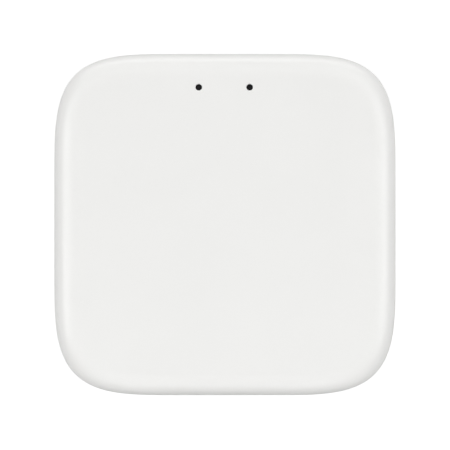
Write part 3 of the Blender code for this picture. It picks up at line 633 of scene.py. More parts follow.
def top_shell_rings():
    """Once round the wall of the top cover, from the top face out, down, in and up to the ceiling."""
    path = [(TOP_EDGE_REACH + 0.4 * MM, TOP_Z)]
    for step in range(TOP_EDGE_STEPS + 1):
        turn = pi / 2 * (1 - step / TOP_EDGE_STEPS)
        across = max(0.0, cos(turn)) ** (2 / TOP_EDGE_POWER)
        rise = sin(turn) ** (2 / TOP_EDGE_POWER)
        path.append((TOP_EDGE_REACH * (1 - across), TOP_Z - TOP_EDGE_REACH * (1 - rise)))
    path += arc(EDGE_SOFTNESS, COVER_BOTTOM_Z + EDGE_SOFTNESS, EDGE_SOFTNESS, 0, -90, 4)
    skirt = LIP_INSET - GAP
    path += [(skirt - 0.05 * MM, COVER_BOTTOM_Z), (skirt, COVER_BOTTOM_Z + 0.05 * MM)]
    path += [(skirt, LIP_TOP_Z + GAP), (WALL, LIP_TOP_Z + GAP)]
    inner_radius = TOP_EDGE_RADIUS - WALL
    path += arc(TOP_EDGE_RADIUS, CEILING_Z - inner_radius, inner_radius, 0, 90, 8)
    path += [(TOP_EDGE_RADIUS + 0.5 * MM, CEILING_Z)]
    return [soft_square(inset, z) for inset, z in path]


def top_shell_additions():
    """Four screw bosses, each with a gusset that runs out to its corner, and two stakes with heads."""
    bosses, gussets, stakes = bmesh.new(), bmesh.new(), bmesh.new()
    embed = 0.7 * MM
    low = BOARD_TOP_Z + GAP
    boss = [(BOSS_RADIUS - 0.1 * MM, low), (BOSS_RADIUS, low + 0.1 * MM), (BOSS_RADIUS, CEILING_Z + embed)]
    gusset_low = (BOSS_RADIUS - embed, -0.4 * MM, 9 * MM)
    gusset_high = (8.5 * MM, 0.4 * MM, CEILING_Z + embed / 2)
    add_at_corners(bosses, boss)
    for _, x, y in corners():
        turn = RIGHT.rotation_difference(Vector((x, y, 0))).to_matrix().to_4x4()
        made = add_box(gussets, gusset_low, gusset_high)
        bmesh.ops.transform(gussets, matrix=placed(x, y) @ turn, verts=made)
    head_z = 11.3 * MM
    stake = [(0.6 * MM, CEILING_Z + embed), (0.6 * MM, head_z + GAP), (1.15 * MM, head_z + 0.25 * MM)]
    stake += [(1.1 * MM, head_z), (0.7 * MM, head_z - 0.25 * MM), (0.2 * MM, head_z - GAP)]
    for sx in (-1, 1):
        add_turned(stakes, stake, placed(INDICATOR_MID_X + sx * STAKE_REACH, STAKE_Y), 32)
    return [bosses, gussets, stakes]


def top_shell_cuts():
    """Screw pilots, indicator holes, the button's hole and the socket's port, all with soft rims."""
    holes = bmesh.new()
    wide = PILOT_RADIUS + 0.3 * MM
    pilot = [(wide, COVER_BOTTOM_Z), (wide, BOARD_TOP_Z + GAP), (PILOT_RADIUS, BOARD_TOP_Z + 2 * GAP)]
    pilot += [(PILOT_RADIUS, PILOT_TOP_Z), (0.2 * MM, PILOT_TOP_Z + 0.6 * MM)]
    add_at_corners(holes, pilot, 32)
    r, soft, past = INDICATOR_HOLE_RADIUS, 0.05 * MM, 1 * MM
    bore = [(r, CEILING_Z - past), (r, TOP_Z - soft), (r + soft, TOP_Z), (r + soft, TOP_Z + past)]
    for _, x in indicator_places():
        add_turned(holes, bore, placed(x, INDICATOR_Y), 48)
    face_y, soft = WIDTH / 2, 0.15 * MM
    rim = [(0, -2 * WALL), (0, -soft), (soft * 0.4, -soft * 0.4), (soft, 0), (soft, past)]
    bore = [(BUTTON_HOLE_RADIUS + wider, y) for wider, y in rim]
    add_turned(holes, bore, facing_rear(BUTTON_X, face_y, BUTTON_Z), 64)
    port = []
    for wider, y in rim:
        margin = GAP + wider
        port.append(upright(rounded(socket_section(margin), 0.45 * MM + margin), face_y + y))
    return [holes, loft(port)]


def make_top_shell():
    additions, cuts = top_shell_additions(), top_shell_cuts()
    shape = loft(top_shell_rings())
    shell = show("top_shell", shape, "white_plastic", replaces=["top_cover"], add=additions, cut=cuts)
    shell.modifiers.new("flat walls beside soft rims", "WEIGHTED_NORMAL").keep_sharp = True


def bottom_shell_rings():
    """Once round the tray: from the underside out, up to the seam, over the lip and down inside."""
    path = [(BOTTOM_EDGE_RADIUS + 0.5 * MM, UNDERSIDE_Z)]
    path += arc(BOTTOM_EDGE_RADIUS, UNDERSIDE_Z + BOTTOM_EDGE_RADIUS, BOTTOM_EDGE_RADIUS, -90, 0, 10)
    path += arc(EDGE_SOFTNESS, SEAM_Z - EDGE_SOFTNESS, EDGE_SOFTNESS, 0, 90, 4)
    path += [(LIP_INSET, SEAM_Z)]
    soft = 0.15 * MM
    path += arc(LIP_INSET + soft, LIP_TOP_Z - soft, soft, 0, 90, 3)
    inside = LIP_INSET + LIP_THICKNESS
    path += [(inside - soft, LIP_TOP_Z), (inside, LIP_TOP_Z - soft), (inside, FLOOR_Z + soft)]
    path += [(inside + soft, FLOOR_Z), (inside + soft + 0.5 * MM, FLOOR_Z)]
    return [soft_square(inset, z) for inset, z in path]


def make_bottom_shell():
    """The tray, with a column under each screw hole of the board, foot recesses and a label recess."""
    columns, bores, label_recess = bmesh.new(), bmesh.new(), bmesh.new()
    soft = 0.1 * MM
    top = BOARD_Z - GAP
    column = [(COLUMN_RADIUS, FLOOR_Z - 0.7 * MM), (COLUMN_RADIUS + 0.3 * MM, FLOOR_Z)]
    column += [(COLUMN_RADIUS, FLOOR_Z + 0.3 * MM), (COLUMN_RADIUS, top - soft), (COLUMN_RADIUS - soft, top)]
    recess = FOOT_RADIUS + GAP
    bore = [(recess + soft, 0), (recess + soft, UNDERSIDE_Z), (recess, UNDERSIDE_Z + soft)]
    bore += [(recess, FOOT_RECESS_TOP_Z), (COUNTERBORE_RADIUS, FOOT_RECESS_TOP_Z)]
    bore += [(COUNTERBORE_RADIUS, COUNTERBORE_TOP_Z), (CLEARANCE_RADIUS, COUNTERBORE_TOP_Z)]
    bore += [(CLEARANCE_RADIUS, 8 * MM)]
    add_at_corners(columns, column)
    add_at_corners(bores, bore, 64)
    low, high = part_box("blank_label")
    size = high - low
    outline = rounded(rectangle(size.x + 2 * GAP, size.y + 2 * GAP), 2.3 * MM, 8)
    add_slab(label_recess, outline, 0, high.z + GAP)
    shape, cuts = loft(bottom_shell_rings()), [bores, label_recess]
    show("bottom_shell", shape, "white_plastic", replaces=["bottom_cover"], add=[columns], cut=cuts)


def make_label():
    low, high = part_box("blank_label")
    size = high - low
    shape = bmesh.new()
    add_slab(shape, rounded(rectangle(size.x, size.y), 2 * MM, 10), low.z, high.z)
    show("label_film_piece", shape, "label_film", replaces=["blank_label"])


def make_feet():
    """Moulded rubber discs: rounded rims and two shallow rings in the sole."""
    radius, soft = FOOT_RADIUS, 0.3 * MM
    half, depth = 0.22 * MM, 0.12 * MM
    grooves = []
    for groove in (3.2 * MM, 1.9 * MM):
        grooves += [(groove + half, 0), (groove + half / 2, depth)]
        grooves += [(groove - half / 2, depth), (groove - half, 0)]
    for place, x, y in corners():
        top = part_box(f"foot_{place}")[1].z
        profile = [(radius - inset, z) for inset, z in arc(soft, top - soft, soft, 90, 0, 4)]
        profile += [(radius - inset, z) for inset, z in arc(soft, soft, soft, 0, -90, 5)]
        shape = turned([(0, top)] + profile + grooves + [(0, 0)], placed(x, y), 72)
        show(f"foot_pad_{place}", shape, "grey_rubber", replaces=[f"foot_{place}"])


def make_screws():
    """Self-tapping screws with a cross recess; the thread is a run of sharp rings."""
    core, crest, pitch, head = 0.72 * MM, SCREW_RADIUS, 0.8 * MM, 1.9 * MM
    quarters = [Matrix.Rotation(quarter * pi / 2, 3, "Z") for quarter in range(4)]
    for place, x, y in corners():
        low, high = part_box(f"housing_screw_{place}")
        head_top = low.z + 1.2 * MM
        profile = [(0, low.z), (1.3 * MM, low.z), (1.75 * MM, low.z + 0.3 * MM), (head, low.z + 0.7 * MM)]
        profile += [(head, head_top), (core, head_top + 0.15 * MM)]
        z = head_top + 0.5 * MM
        while z < high.z - 1.3 * MM:
            profile += [(core, z), (crest, z + pitch * 0.3), (core, z + pitch * 0.6)]
            z += pitch
        profile += [(core, high.z - 0.9 * MM), (0.25 * MM, high.z), (0, high.z)]
        recess = []
        for rise, reach, half in ((-0.2, 1.1, 0.22), (0.7, 0.6, 0.16)):
            arm = [Vector(point) * MM for point in ((reach, -half, 0), (reach, half, 0), (half, half, 0))]
            centre = Vector((x, y, low.z + rise * MM))
            recess.append([turn @ point + centre for turn in quarters for point in arm])
        shape = turned(profile, placed(x, y), 40)
        show(f"cross_screw_{place}", shape, "zinc", replaces=[f"housing_screw_{place}"], cut=[loft(recess)])


# ---- Indicators


def make_light_guide():
    """Plate, posts and pins in one dark moulding; the pin tips are slightly domed."""
    low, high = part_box("light_guide")
    plate_top = CEILING_Z - GAP
    plate_low = plate_top - 1.0 * MM
    joint_z = plate_low + 0.5 * MM
    middle = (low + high) / 2
    shape, posts, holes = bmesh.new(), bmesh.new(), bmesh.new()
    outline = rounded(rectangle(high.x - low.x, high.y - low.y), 1.0 * MM, 8)
    add_slab(shape, outline, plate_low, plate_top, placed(middle.x, middle.y), 0.12 * MM)
    pin = INDICATOR_HOLE_RADIUS - FIT_GAP
    post = [(0.75 * MM, low.z), (0.9 * MM, low.z + 0.15 * MM), (0.9 * MM, joint_z)]
    tip = [(pin, joint_z), (pin, high.z - 0.1 * MM), (pin * 0.9, high.z - 0.04 * MM)]
    tip += [(pin * 0.6, high.z - 0.01 * MM), (0, high.z)]
    for _, x in indicator_places():
        add_turned(posts, post, placed(x, LED_Y), 40)
        add_turned(posts, tip, placed(x, INDICATOR_Y), 40)
    for sx in (-1, 1):
        x = INDICATOR_MID_X + sx * STAKE_REACH
        add_cylinder(holes, 0.9 * MM, (x, STAKE_Y, plate_low - 1 * MM), (x, STAKE_Y, CEILING_Z), 40)
    show("light_guide_moulding", shape, "smoked_plastic", replaces=["light_guide"], add=[posts], cut=[holes])


def make_shroud():
    """Black block with a well over each lamp and an arch over the socket's leads."""
    low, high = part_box("led_shroud")
    wells = bmesh.new()
    radius, rim, past = 1.2 * MM, 0.05 * MM, 1 * MM
    well = [(radius, low.z - past), (radius, high.z - rim)]
    well += [(radius + rim, high.z), (radius + rim, high.z + past)]
    for _, x in indicator_places():
        add_turned(wells, well, placed(x, LED_Y), 48)
    left, right = INDICATOR_MID_X - 2.6 * MM, INDICATOR_MID_X + 2.6 * MM
    base, crown = low.z - 0.3 * MM, low.z + 2.2 * MM
    arch = rounded([(left, base), (right, base), (right, crown), (left, crown)], 0.7 * MM)
    tunnel = loft([upright(arch, y) for y in (low.y - past, high.y + past)])
    shroud = box(low, high, 0.12 * MM, 3)
    show("lamp_shroud", shroud, "black_rubber", replaces=["led_shroud"], cut=[wells, tunnel])


def make_lamps():
    """Surface-mount lamps: a base, a clear block and a gilded wrap round each end."""
    for side, _ in indicator_places():
        low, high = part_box(f"status_led_{side}")
        middle = (low + high) / 2
        half = Vector((0.55, 0.35, 0)) * MM
        shape, ends = bmesh.new(), bmesh.new()
        add_box(shape, low, (high.x, high.y, low.z + 0.25 * MM), STRIP_SOFTNESS)
        lens_low, lens_high = middle - half, middle + half
        lens_low.z, lens_high.z = low.z + 0.2 * MM, high.z
        add_box(shape, lens_low, lens_high, 0.12 * MM, 4)
        show(f"lamp_{side}", shape, "led_body", replaces=[f"status_led_{side}"])
        skin, half_end = 0.004 * MM, 0.14 * MM
        for sx in (-1, 1):
            x = middle.x + sx * 0.66 * MM
            end_low = (x - half_end, low.y - skin, low.z - skin)
            add_box(ends, end_low, (x + half_end, high.y + skin, low.z + 0.26 * MM), 0.02 * MM)
        show(f"lamp_ends_{side}", ends, "gold")


# ---- Power socket


def make_socket_shell():
    """Folded steel tube with softly rounded corners, a flared mouth, two spring windows and wings."""
    front, back = SOCKET_MOUTH_Y, SOCKET_BACK_Y
    rings = []
    for margin, y in (
        (0, back),
        (0, front - 0.1 * MM),
        (-0.06 * MM, front),
        (-SOCKET_SHEET + 0.1 * MM, front),
        (-SOCKET_SHEET, front - 0.25 * MM),
        (-SOCKET_SHEET, back + SOCKET_SHEET),
    ):
        rings.append(upright(rounded(socket_section(margin), 0.5 * MM + margin), y))
    wings, cuts = bmesh.new(), bmesh.new()
    top = Vector((0, 0, SOCKET_Z + SOCKET_HEIGHT / 2))
    for sx in (-1, 1):
        inner, outer = sorted((sx * 2.6 * MM, sx * 4.6 * MM))
        wing_low = (inner, back + 1.2 * MM, PART_Z + 0.02 * MM)
        add_box(wings, wing_low, (outer, back + 2.8 * MM, PART_Z + 0.28 * MM), 0.06 * MM)
        window = top + sx * 1.7 * MM * RIGHT
        add_bar(cuts, window, 0.45 * MM, 0.5 * MM, (front - 2.6 * MM, front - 1.2 * MM))
    add_box(cuts, (-1.9 * MM, back - GAP, PART_Z - GAP), (1.9 * MM, back + 1.3 * MM, PART_Z + 1.0 * MM))
    show("socket_can", loft(rings), "tinned_steel", replaces=["usb_socket_shell"], add=[wings], cut=[cuts])


def make_socket_inside():
    """The block at the back with its tongue, and the five contact springs under it."""
    low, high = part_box("usb_insulator")
    outline = rounded(socket_section(-SOCKET_SHEET - FIT_GAP), 0.12 * MM)
    block = loft([upright(outline, y) for y in (low.y, low.y + 1.1 * MM)])
    tongue, channel = bmesh.new(), bmesh.new()
    half, top = 1.85 * MM, SOCKET_Z + 0.6 * MM
    add_box(tongue, (-half, low.y + 0.5 * MM, SOCKET_Z), (half, high.y, top), 0.1 * MM, 3)
    half, top = 1.75 * MM, SOCKET_Z - 0.05 * MM
    add_box(channel, (-half, low.y - GAP, BOARD_TOP_Z), (half, low.y + 1.5 * MM, top))
    show("socket_tongue", block, "black_epoxy", replaces=["usb_insulator"], add=[tongue], cut=[channel])

    sheet = 0.15 * MM
    bend = SOCKET_BACK_Y + 0.75 * MM
    for number in range(1, CONTACT_COUNT + 1):
        low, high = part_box(f"usb_contact_{number}")
        side = [(low.y, low.z), (bend + sheet, low.z), (bend + sheet, high.z - sheet)]
        side += [(high.y, high.z - sheet), (high.y, high.z), (bend, high.z)]
        side += [(bend, low.z + sheet), (low.y, low.z + sheet)]
        shape = bmesh.new()
        add_strip(shape, [Vector((low.x, y, z)) for y, z in side], (high.x - low.x) * RIGHT)
        show(f"contact_spring_{number}", shape, "gold", replaces=[f"usb_contact_{number}"])


# ---- Reset button and switch


def make_button():
    """Round cap with a shallow dish in its face, retaining wings and a nib for the switch."""
    low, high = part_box("reset_button")
    wing_front, wing_back = 27.9 * MM, 27.1 * MM
    place = facing_rear(BUTTON_X, 0, BUTTON_Z)
    soft = 0.3 * MM
    nib_radius = 0.8 * MM
    back = wing_back + GAP / 2
    profile = [(nib_radius, back), (BUTTON_RADIUS, back)]
    profile += [(BUTTON_RADIUS - inset, y) for inset, y in arc(soft, high.y - soft, soft, 0, 90, 6)]
    dish_radius, dish_depth = 1.3 * MM, 0.14 * MM
    for step in range(7):
        share = 1 - step / 6
        profile.append((dish_radius * share, high.y - dish_depth * (1 - share**2)))
    wings, nib = bmesh.new(), bmesh.new()
    centre = Vector((BUTTON_X, 0, BUTTON_Z))
    add_bar(wings, centre, 3.3 * MM, 1.3 * MM, (wing_back, wing_front), 0.15 * MM)
    tip = [(0.5 * MM, low.y), (nib_radius, low.y + 0.15 * MM), (nib_radius, wing_back + GAP)]
    add_turned(nib, tip, place, 40)
    cap = turned(profile, place, 64)
    show("button_cap", cap, "grey_plastic", body="reset_button", replaces=["reset_button"], add=[wings, nib])


def make_switch():
    """Side-push key switch: body with a pocket, folded front plate, plunger and snap dome."""
    low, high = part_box("switch_body")
    middle = (low + high) / 2
    pocket, window, collar, stem = (bmesh.new() for _ in range(4))
    add_bar(pocket, middle, 2.2 * MM, 1.2 * MM, (high.y - 2.0 * MM, high.y + GAP), 0.15 * MM)
    show("switch_case", box(low, high, 0.12 * MM, 3), "black_epoxy", replaces=["switch_body"], cut=[pocket])

    low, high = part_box("switch_front_plate")
    add_bar(window, middle, 1.45 * MM, 0.85 * MM, (low.y - GAP, high.y + GAP), 0.1 * MM)
    plate = box(low, high, 0.08 * MM, 3)
    show("switch_plate", plate, "tinned_steel", replaces=["switch_front_plate"], cut=[window])

    low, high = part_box("switch_plunger")
    add_bar(collar, middle, 1.9 * MM, 1.0 * MM, (24.6 * MM, 25.2 * MM), 0.08 * MM)
    add_bar(stem, middle, 1.3 * MM, 0.7 * MM, (low.y, high.y), 0.12 * MM, 4)
    name = "switch_plunger"
    show("switch_stem", stem, "cream_plastic", body=name, replaces=[name], add=[collar])

    low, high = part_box("switch_dome")
    radius, rise, sheet = (high.x - low.x) / 2, high.y - low.y, 0.15 * MM
    outer, inner = [], []
    for step in range(13):
        share = step / 12
        height = (rise - sheet) * (1 - share**2)
        outer.append((radius * share, height + sheet))
        inner.append(((radius - sheet * 0.5) * share, height))
    profile = outer[:-1] + [(radius, sheet * 0.5)] + inner[::-1]
    dome = turned(profile, facing_rear(middle.x, low.y, middle.z))
    show("snap_dome", dome, "tinned_steel", replaces=["switch_dome"])


# ---- Board


def add_ribbon(shape, points, width, z):
    """Adds a strip of copper foil along points, mitred where it turns."""
    points = [Vector((x, y, z)) for x, y in points]
    runs = [(after - here).normalized() for here, after in zip(points, points[1:])]
    left, right = [], []
    for point, before, after in zip(points, runs[:1] + runs, runs + runs[-1:]):
        side = UP.cross(before + after).normalized()
        side *= width / 2 / side.dot(UP.cross(after))
        left.append(point + side)
        right.append(point - side)
    ring = right + left[::-1]
    add_loft(shape, [ring, [point + FOIL * UP for point in ring]])


def make_board():
    """The bare board, with its screw holes and the notch that clears the button's cap."""
    soft = 0.05 * MM
    rings = []
    for inset, z in ((soft, BOARD_Z), (0, BOARD_Z + soft), (0, BOARD_TOP_Z - soft), (soft, BOARD_TOP_Z)):
        rings.append(soft_square(BOARD_INSET + inset, z))
    holes = bmesh.new()
    add_at_corners(holes, [(BOARD_HOLE_RADIUS, BOARD_Z - GAP), (BOARD_HOLE_RADIUS, BOARD_TOP_Z + GAP)])
    middle = Vector((BUTTON_X, 0, (BOARD_Z + BOARD_TOP_Z) / 2))
    half_z = (BOARD_TOP_Z - BOARD_Z) / 2 + 1 * MM
    add_bar(holes, middle, BUTTON_NOTCH_HALF_WIDTH, half_z, (BUTTON_NOTCH_Y, WIDTH / 2), 0.4 * MM, 4)
    show("bare_board", loft(rings), "green_laminate", replaces=["main_board"], cut=[holes])


def make_tracks():
    """Power and signal tracks under the solder mask; gives back the ends that stop short of a part."""
    routes = [
        # points and width, in millimetres
        ([(-1.3, 23.4), (-1.3, 21.0), (-3.4, 18.6)], 0.8),
        ([(1.3, 23.4), (1.3, 20.4), (3.4, 18.4)], 0.5),
        ([(6.9, 15.2), (8.4, 13.6), (8.4, 2.0), (9.6, 0.8), (9.6, -5.4)], 0.6),
        ([(-3.9, 16.2), (-5.6, 16.2), (-6.6, 16.8)], 0.8),
        ([(-9.0, 11.2), (-9.0, 8.9)], 1.2),
        ([(-9.0, 6.0), (-9.0, -1.9)], 0.8),
        ([(-11.4, 16.6), (-12.2, 18.4), (-12.2, 20.8)], 0.8),
        ([(-5.2, 19.4), (-7.0, 19.4), (-7.4, 20.6)], 0.25),
        ([(9.4, 23.6), (7.2, 21.4), (6.0, 20.2), (5.2, 19.6)], 0.25),
        ([(12.0, 22.2), (12.0, 12.0), (18.2, 5.8), (18.2, -9.0), (16.8, -10.4)], 0.25),
    ]
    for lane in range(5):
        shift = lane * 0.75
        routes.append(([(-1.3, -9.2 - shift), (0.9, -11.0 - shift)], 0.2))
    loose_ends = [(-7.4, 20.6)]
    pitch = 0.6
    for lane in range(4):
        x = -14.2 + lane * pitch
        bend = 1.5 - lane * pitch * tan(pi / 8)
        loose_ends.append((x + 3.0, bend + 3.0))
        routes.append(([(x, -4.8), (x, bend), loose_ends[-1]], 0.2))
    shape = bmesh.new()
    for points, width in routes:
        points = [(x * MM, y * MM) for x, y in points]
        add_ribbon(shape, points, width * MM, BOARD_TOP_Z - FOIL_SINK)
    show("board_tracks", shape, "green_laminate", finish="masked_copper")
    return [Vector((x * MM, y * MM, BOARD_TOP_Z)) for x, y in loose_ends]


def add_plated_ring(shape, at, hole, reach, height, steps=48):
    """A copper ring round a hole; a negative height puts it under the board."""
    path = ((hole, 0), (hole, height), (reach - 0.02 * MM, height), (reach, 0))
    add_loft(shape, [circle(radius, z, steps) for radius, z in path], Matrix.Translation(at), closed=True)


def make_vias(track_ends):
    """Plated rings round the screw holes, a via at each loose track end and a row along the edge."""
    shape = bmesh.new()
    for z, height in ((BOARD_TOP_Z, 0.03 * MM), (BOARD_Z, -0.03 * MM)):
        for _, x, y in corners():
            add_plated_ring(shape, (x, y, z), BOARD_HOLE_RADIUS + 0.02 * MM, 2.45 * MM, height)
    for end in track_ends:
        add_plated_ring(shape, end, 0.15 * MM, 0.32 * MM, 0.04 * MM, 20)
    edge = soft_square(BOARD_INSET + 1.1 * MM, BOARD_TOP_Z)
    pitch = 2.4 * MM
    travelled = 0.0
    for here, after in zip(edge, edge[1:] + edge[:1]):
        length = (after - here).length
        while travelled < length:
            via = here.lerp(after, travelled / length)
            by_the_socket = abs(via.x) < 17 * MM and via.y > 0
            if not by_the_socket:
                add_plated_ring(shape, via, 0.16 * MM, 0.32 * MM, 0.025 * MM, 12)
            travelled += pitch
        travelled -= length
    show("plated_holes", shape, "gold")


def make_module(name, antenna_turns):
    """Radio board with castellated edges, a folded antenna and a spot-welded shield can."""
    low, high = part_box(f"{name}_board")
    can_low, can_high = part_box(f"{name}_shield")
    notches, pads = bmesh.new(), bmesh.new()
    y = can_low.y + 0.5 * MM
    while y < high.y - 0.6 * MM:
        for x, inwards in ((low.x, MM), (high.x, -MM)):
            add_cylinder(notches, 0.26 * MM, (x, y, low.z - GAP), (x, y, high.z + GAP), 16)
            x0, x1 = sorted((x + inwards * 0.22, x + inwards * 0.95))
            add_box(pads, (x0, y - 0.38 * MM, high.z - 0.01 * MM), (x1, y + 0.38 * MM, high.z + 0.03 * MM))
            x_ends = (x - inwards * 0.55, x + inwards * 0.5)
            y_ends = (y - 0.36 * MM, y + 0.36 * MM)
            add_pad(pads, x_ends, y_ends, BOARD_TOP_Z + 0.08 * MM, 0.02 * MM)
        y += 1.4 * MM
    board = box(low, high, 0.04 * MM)
    show(f"{name}_laminate", board, "blue_laminate", replaces=[f"{name}_board"], cut=[notches])
    show(f"{name}_pads", pads, "gold")

    antenna = bmesh.new()
    left, right = low.x + 1.2 * MM, high.x - 1.2 * MM
    near, far = can_low.y - 0.8 * MM, low.y + 0.7 * MM
    turned_back = near - 0.6 * MM
    step = (right - left) / antenna_turns
    points = [(left, near)]
    for turn in range(antenna_turns):
        x = left + turn * step
        reach = far if turn % 2 == 0 else turned_back
        points += [(x, reach), (x + step, reach)]
    points.append((right, turned_back if antenna_turns % 2 else far))
    add_ribbon(antenna, points, 0.5 * MM, high.z - FOIL_SINK)
    show(f"{name}_antenna", antenna, "gold")

    middle, size = (can_low + can_high) / 2, can_high - can_low
    outline, sheet, soft = rectangle(size.x, size.y), 0.2 * MM, 0.35 * MM
    ceiling = can_high.z - sheet
    path = [(sheet + soft, ceiling), (sheet + 0.1 * MM, ceiling - 0.1 * MM)]
    path += [(sheet, can_high.z - 2 * soft), (sheet, can_low.z), (0, can_low.z)]
    path += arc(soft, can_high.z - soft, soft, 0, 90, 5)
    rings = []
    for inset, z in path:
        radius = 0.6 * MM - min(inset, 0.45 * MM)
        rings.append(level(rounded(shrunk(outline, inset), radius), z, middle))
    slits = bmesh.new()
    half_x, half_y = 0.06 * MM, 0.3 * MM
    for sx in (-1, 1):
        for sy in (-1, 1):
            x, y = middle.x + sx * (size.x / 2 - 1.1 * MM), middle.y + sy * size.y / 2
            slit_high = (x + half_x, y + half_y, can_high.z - 0.6 * MM)
            add_box(slits, (x - half_x, y - half_y, can_low.z - GAP), slit_high)
    show(f"{name}_can", loft(rings), "tinned_steel", replaces=[f"{name}_shield"], cut=[slits])


def make_two_ended(node, slot, wrap, coat=None):
    """A moulded or fired body between two wrapped metal ends, with a coat on top if one is given."""
    wrap *= MM
    low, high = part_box(node)
    skin = Vector((0.03, 0.03, 0.03)) * MM
    show(f"{node}_block", box(low + skin, high - skin, 0.05 * MM), slot, replaces=[node])
    ends = bmesh.new()
    for near, far in ((low.x, low.x + wrap), (high.x - wrap, high.x)):
        add_box(ends, (near, low.y, low.z), (far, high.y, high.z), 0.06 * MM, 3)
    show(f"{node}_ends", ends, "tinned_steel")
    if coat:
        inner = Vector((wrap + 0.06 * MM, 0.1 * MM, 0))
        top = box(Vector((low.x, low.y, high.z - 0.05 * MM)) + inner, high - inner, 0.01 * MM)
        show(f"{node}_coat", top, coat)


def drafted(outline, path, middle):
    """A moulded package from its outline and (inset in millimetres, z) steps, with soft edges."""
    body = loft([level(shrunk(outline, inset * MM), z, middle) for inset, z in path])
    soften(body, body.verts, 0.06 * MM)
    return body


def make_packages():
    """Two moulded packages with drafted sides, a marked end and leads folded under their ends."""
    for node, slot, mark in (
        ("surge_diode", "black_epoxy", "cream_plastic"),
        ("output_capacitor", "cream_plastic", "black_epoxy"),
    ):
        low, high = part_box(node)
        waist, sheet = low.z + (high.z - low.z) * 0.45, 0.15 * MM
        middle, size = (low + high) / 2, high - low
        outline = rectangle(size.x - 2 * sheet, size.y)
        path = ((0.12, low.z + 0.1 * MM), (0, waist), (0.12, high.z - 0.08 * MM), (0.2, high.z))
        show(f"{node}_block", drafted(outline, path, middle), slot, replaces=[node])
        leads = bmesh.new()
        half = size.y * 0.27
        for x, inwards in ((low.x, 1), (high.x, -1)):
            side = [(0, low.z), (0.9 * MM, low.z), (0.9 * MM, low.z + 0.1 * MM), (sheet, low.z + 0.1 * MM)]
            side += [(sheet, waist + sheet), (0, waist + sheet)]
            side = [Vector((x + inwards * reach, middle.y - half, z)) for reach, z in side]
            add_strip(leads, side, 2 * half * REAR)
        show(f"{node}_leads", leads, "tinned_steel")
        band_low = (low.x + 0.5 * MM, low.y + 0.25 * MM, high.z - 0.01 * MM)
        band = box(band_low, (low.x + 0.95 * MM, high.y - 0.25 * MM, high.z + 0.004 * MM))
        show(f"{node}_band", band, mark)


def make_regulator():
    """A moulded regulator with three narrow leads behind and a wide one in front."""
    low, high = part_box("voltage_regulator")
    base = low.z + 0.05 * MM
    middle = Vector((-9, 14, 0)) * MM
    path = ((0.15, base), (0, base + 0.75 * MM), (0.15, high.z - 0.08 * MM), (0.23, high.z))
    body = drafted(rectangle(6.5 * MM, 3.5 * MM), path, middle)
    show("regulator_body", body, "black_epoxy", replaces=["voltage_regulator"])

    leads = bmesh.new()
    # a lead's outline in millimetres: out along its top, back along its underside
    side = [(1.6, 0.8), (2.1, 0.8), (2.35, 0.7), (2.5, 0.3), (2.65, 0.2), (3.15, 0.2)]
    side += [(3.15, 0.0), (2.6, 0.0), (2.4, 0.1), (2.2, 0.5), (2.05, 0.6), (1.6, 0.6)]
    for sy, offset, width in ((1, -2.3, 0.7), (1, 0, 0.7), (1, 2.3, 0.7), (-1, 0, 3.0)):
        rings = []
        for edge in (offset - width / 2, offset + width / 2):
            x = middle.x + edge * MM
            rings.append([Vector((x, middle.y + sy * y * MM, low.z + z * MM)) for y, z in side])
        add_loft(leads, rings)
    show("regulator_leads", leads, "tinned_steel")


def make_storage_capacitor():
    """Aluminium can on a moulded foot: rolled neck, domed rim and a dark polarity sector."""
    low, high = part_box("capacitor_base")
    middle = (low + high) / 2
    nose = 0.9 * MM  # the foot's two right-hand corners are cut off
    outline = [(low.x, low.y), (high.x - nose, low.y), (high.x, low.y + nose)]
    outline += [(high.x, high.y - nose), (high.x - nose, high.y), (low.x, high.y)]
    outline = rounded(outline, 0.2 * MM)
    foot = loft([level(outline, z) for z in (low.z, high.z)])
    show("capacitor_foot", foot, "black_epoxy", replaces=["capacitor_base"])

    low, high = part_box("capacitor_can")
    radius = (high.x - low.x) / 2
    profile = [(0, low.z), (radius - 0.25 * MM, low.z), (radius - 0.05 * MM, low.z + 0.15 * MM)]
    profile.append((radius, low.z + 0.4 * MM))
    for rise, dent in ((0.0, 0.0), (0.18, 0.12), (0.3, 0.18), (0.42, 0.12), (0.6, 0.0)):
        profile.append((radius - dent * MM, low.z + (0.55 + rise) * MM))
    rim = 0.35 * MM
    profile += [(radius - inset, z) for inset, z in arc(rim, high.z - rim, rim, 0, 90, 6)]
    dish_z = high.z - 0.05 * MM
    profile += [(radius - 0.55 * MM, high.z), (radius - 0.65 * MM, dish_z), (0, dish_z)]
    place = placed(middle.x, middle.y)
    show("capacitor_sleeve", turned(profile, place, 72), "aluminium", replaces=["capacitor_can"])

    reach = radius - 0.75 * MM
    half_angle = radians(55)
    angles = [half_angle * (step / 6 - 1) for step in range(13)]
    sector = [(cos(angle) * reach, sin(angle) * reach) for angle in angles]
    mark = loft([level(sector, z, middle) for z in (high.z - 0.055 * MM, high.z - 0.04 * MM)])
    show("capacitor_mark", mark, "black_epoxy")


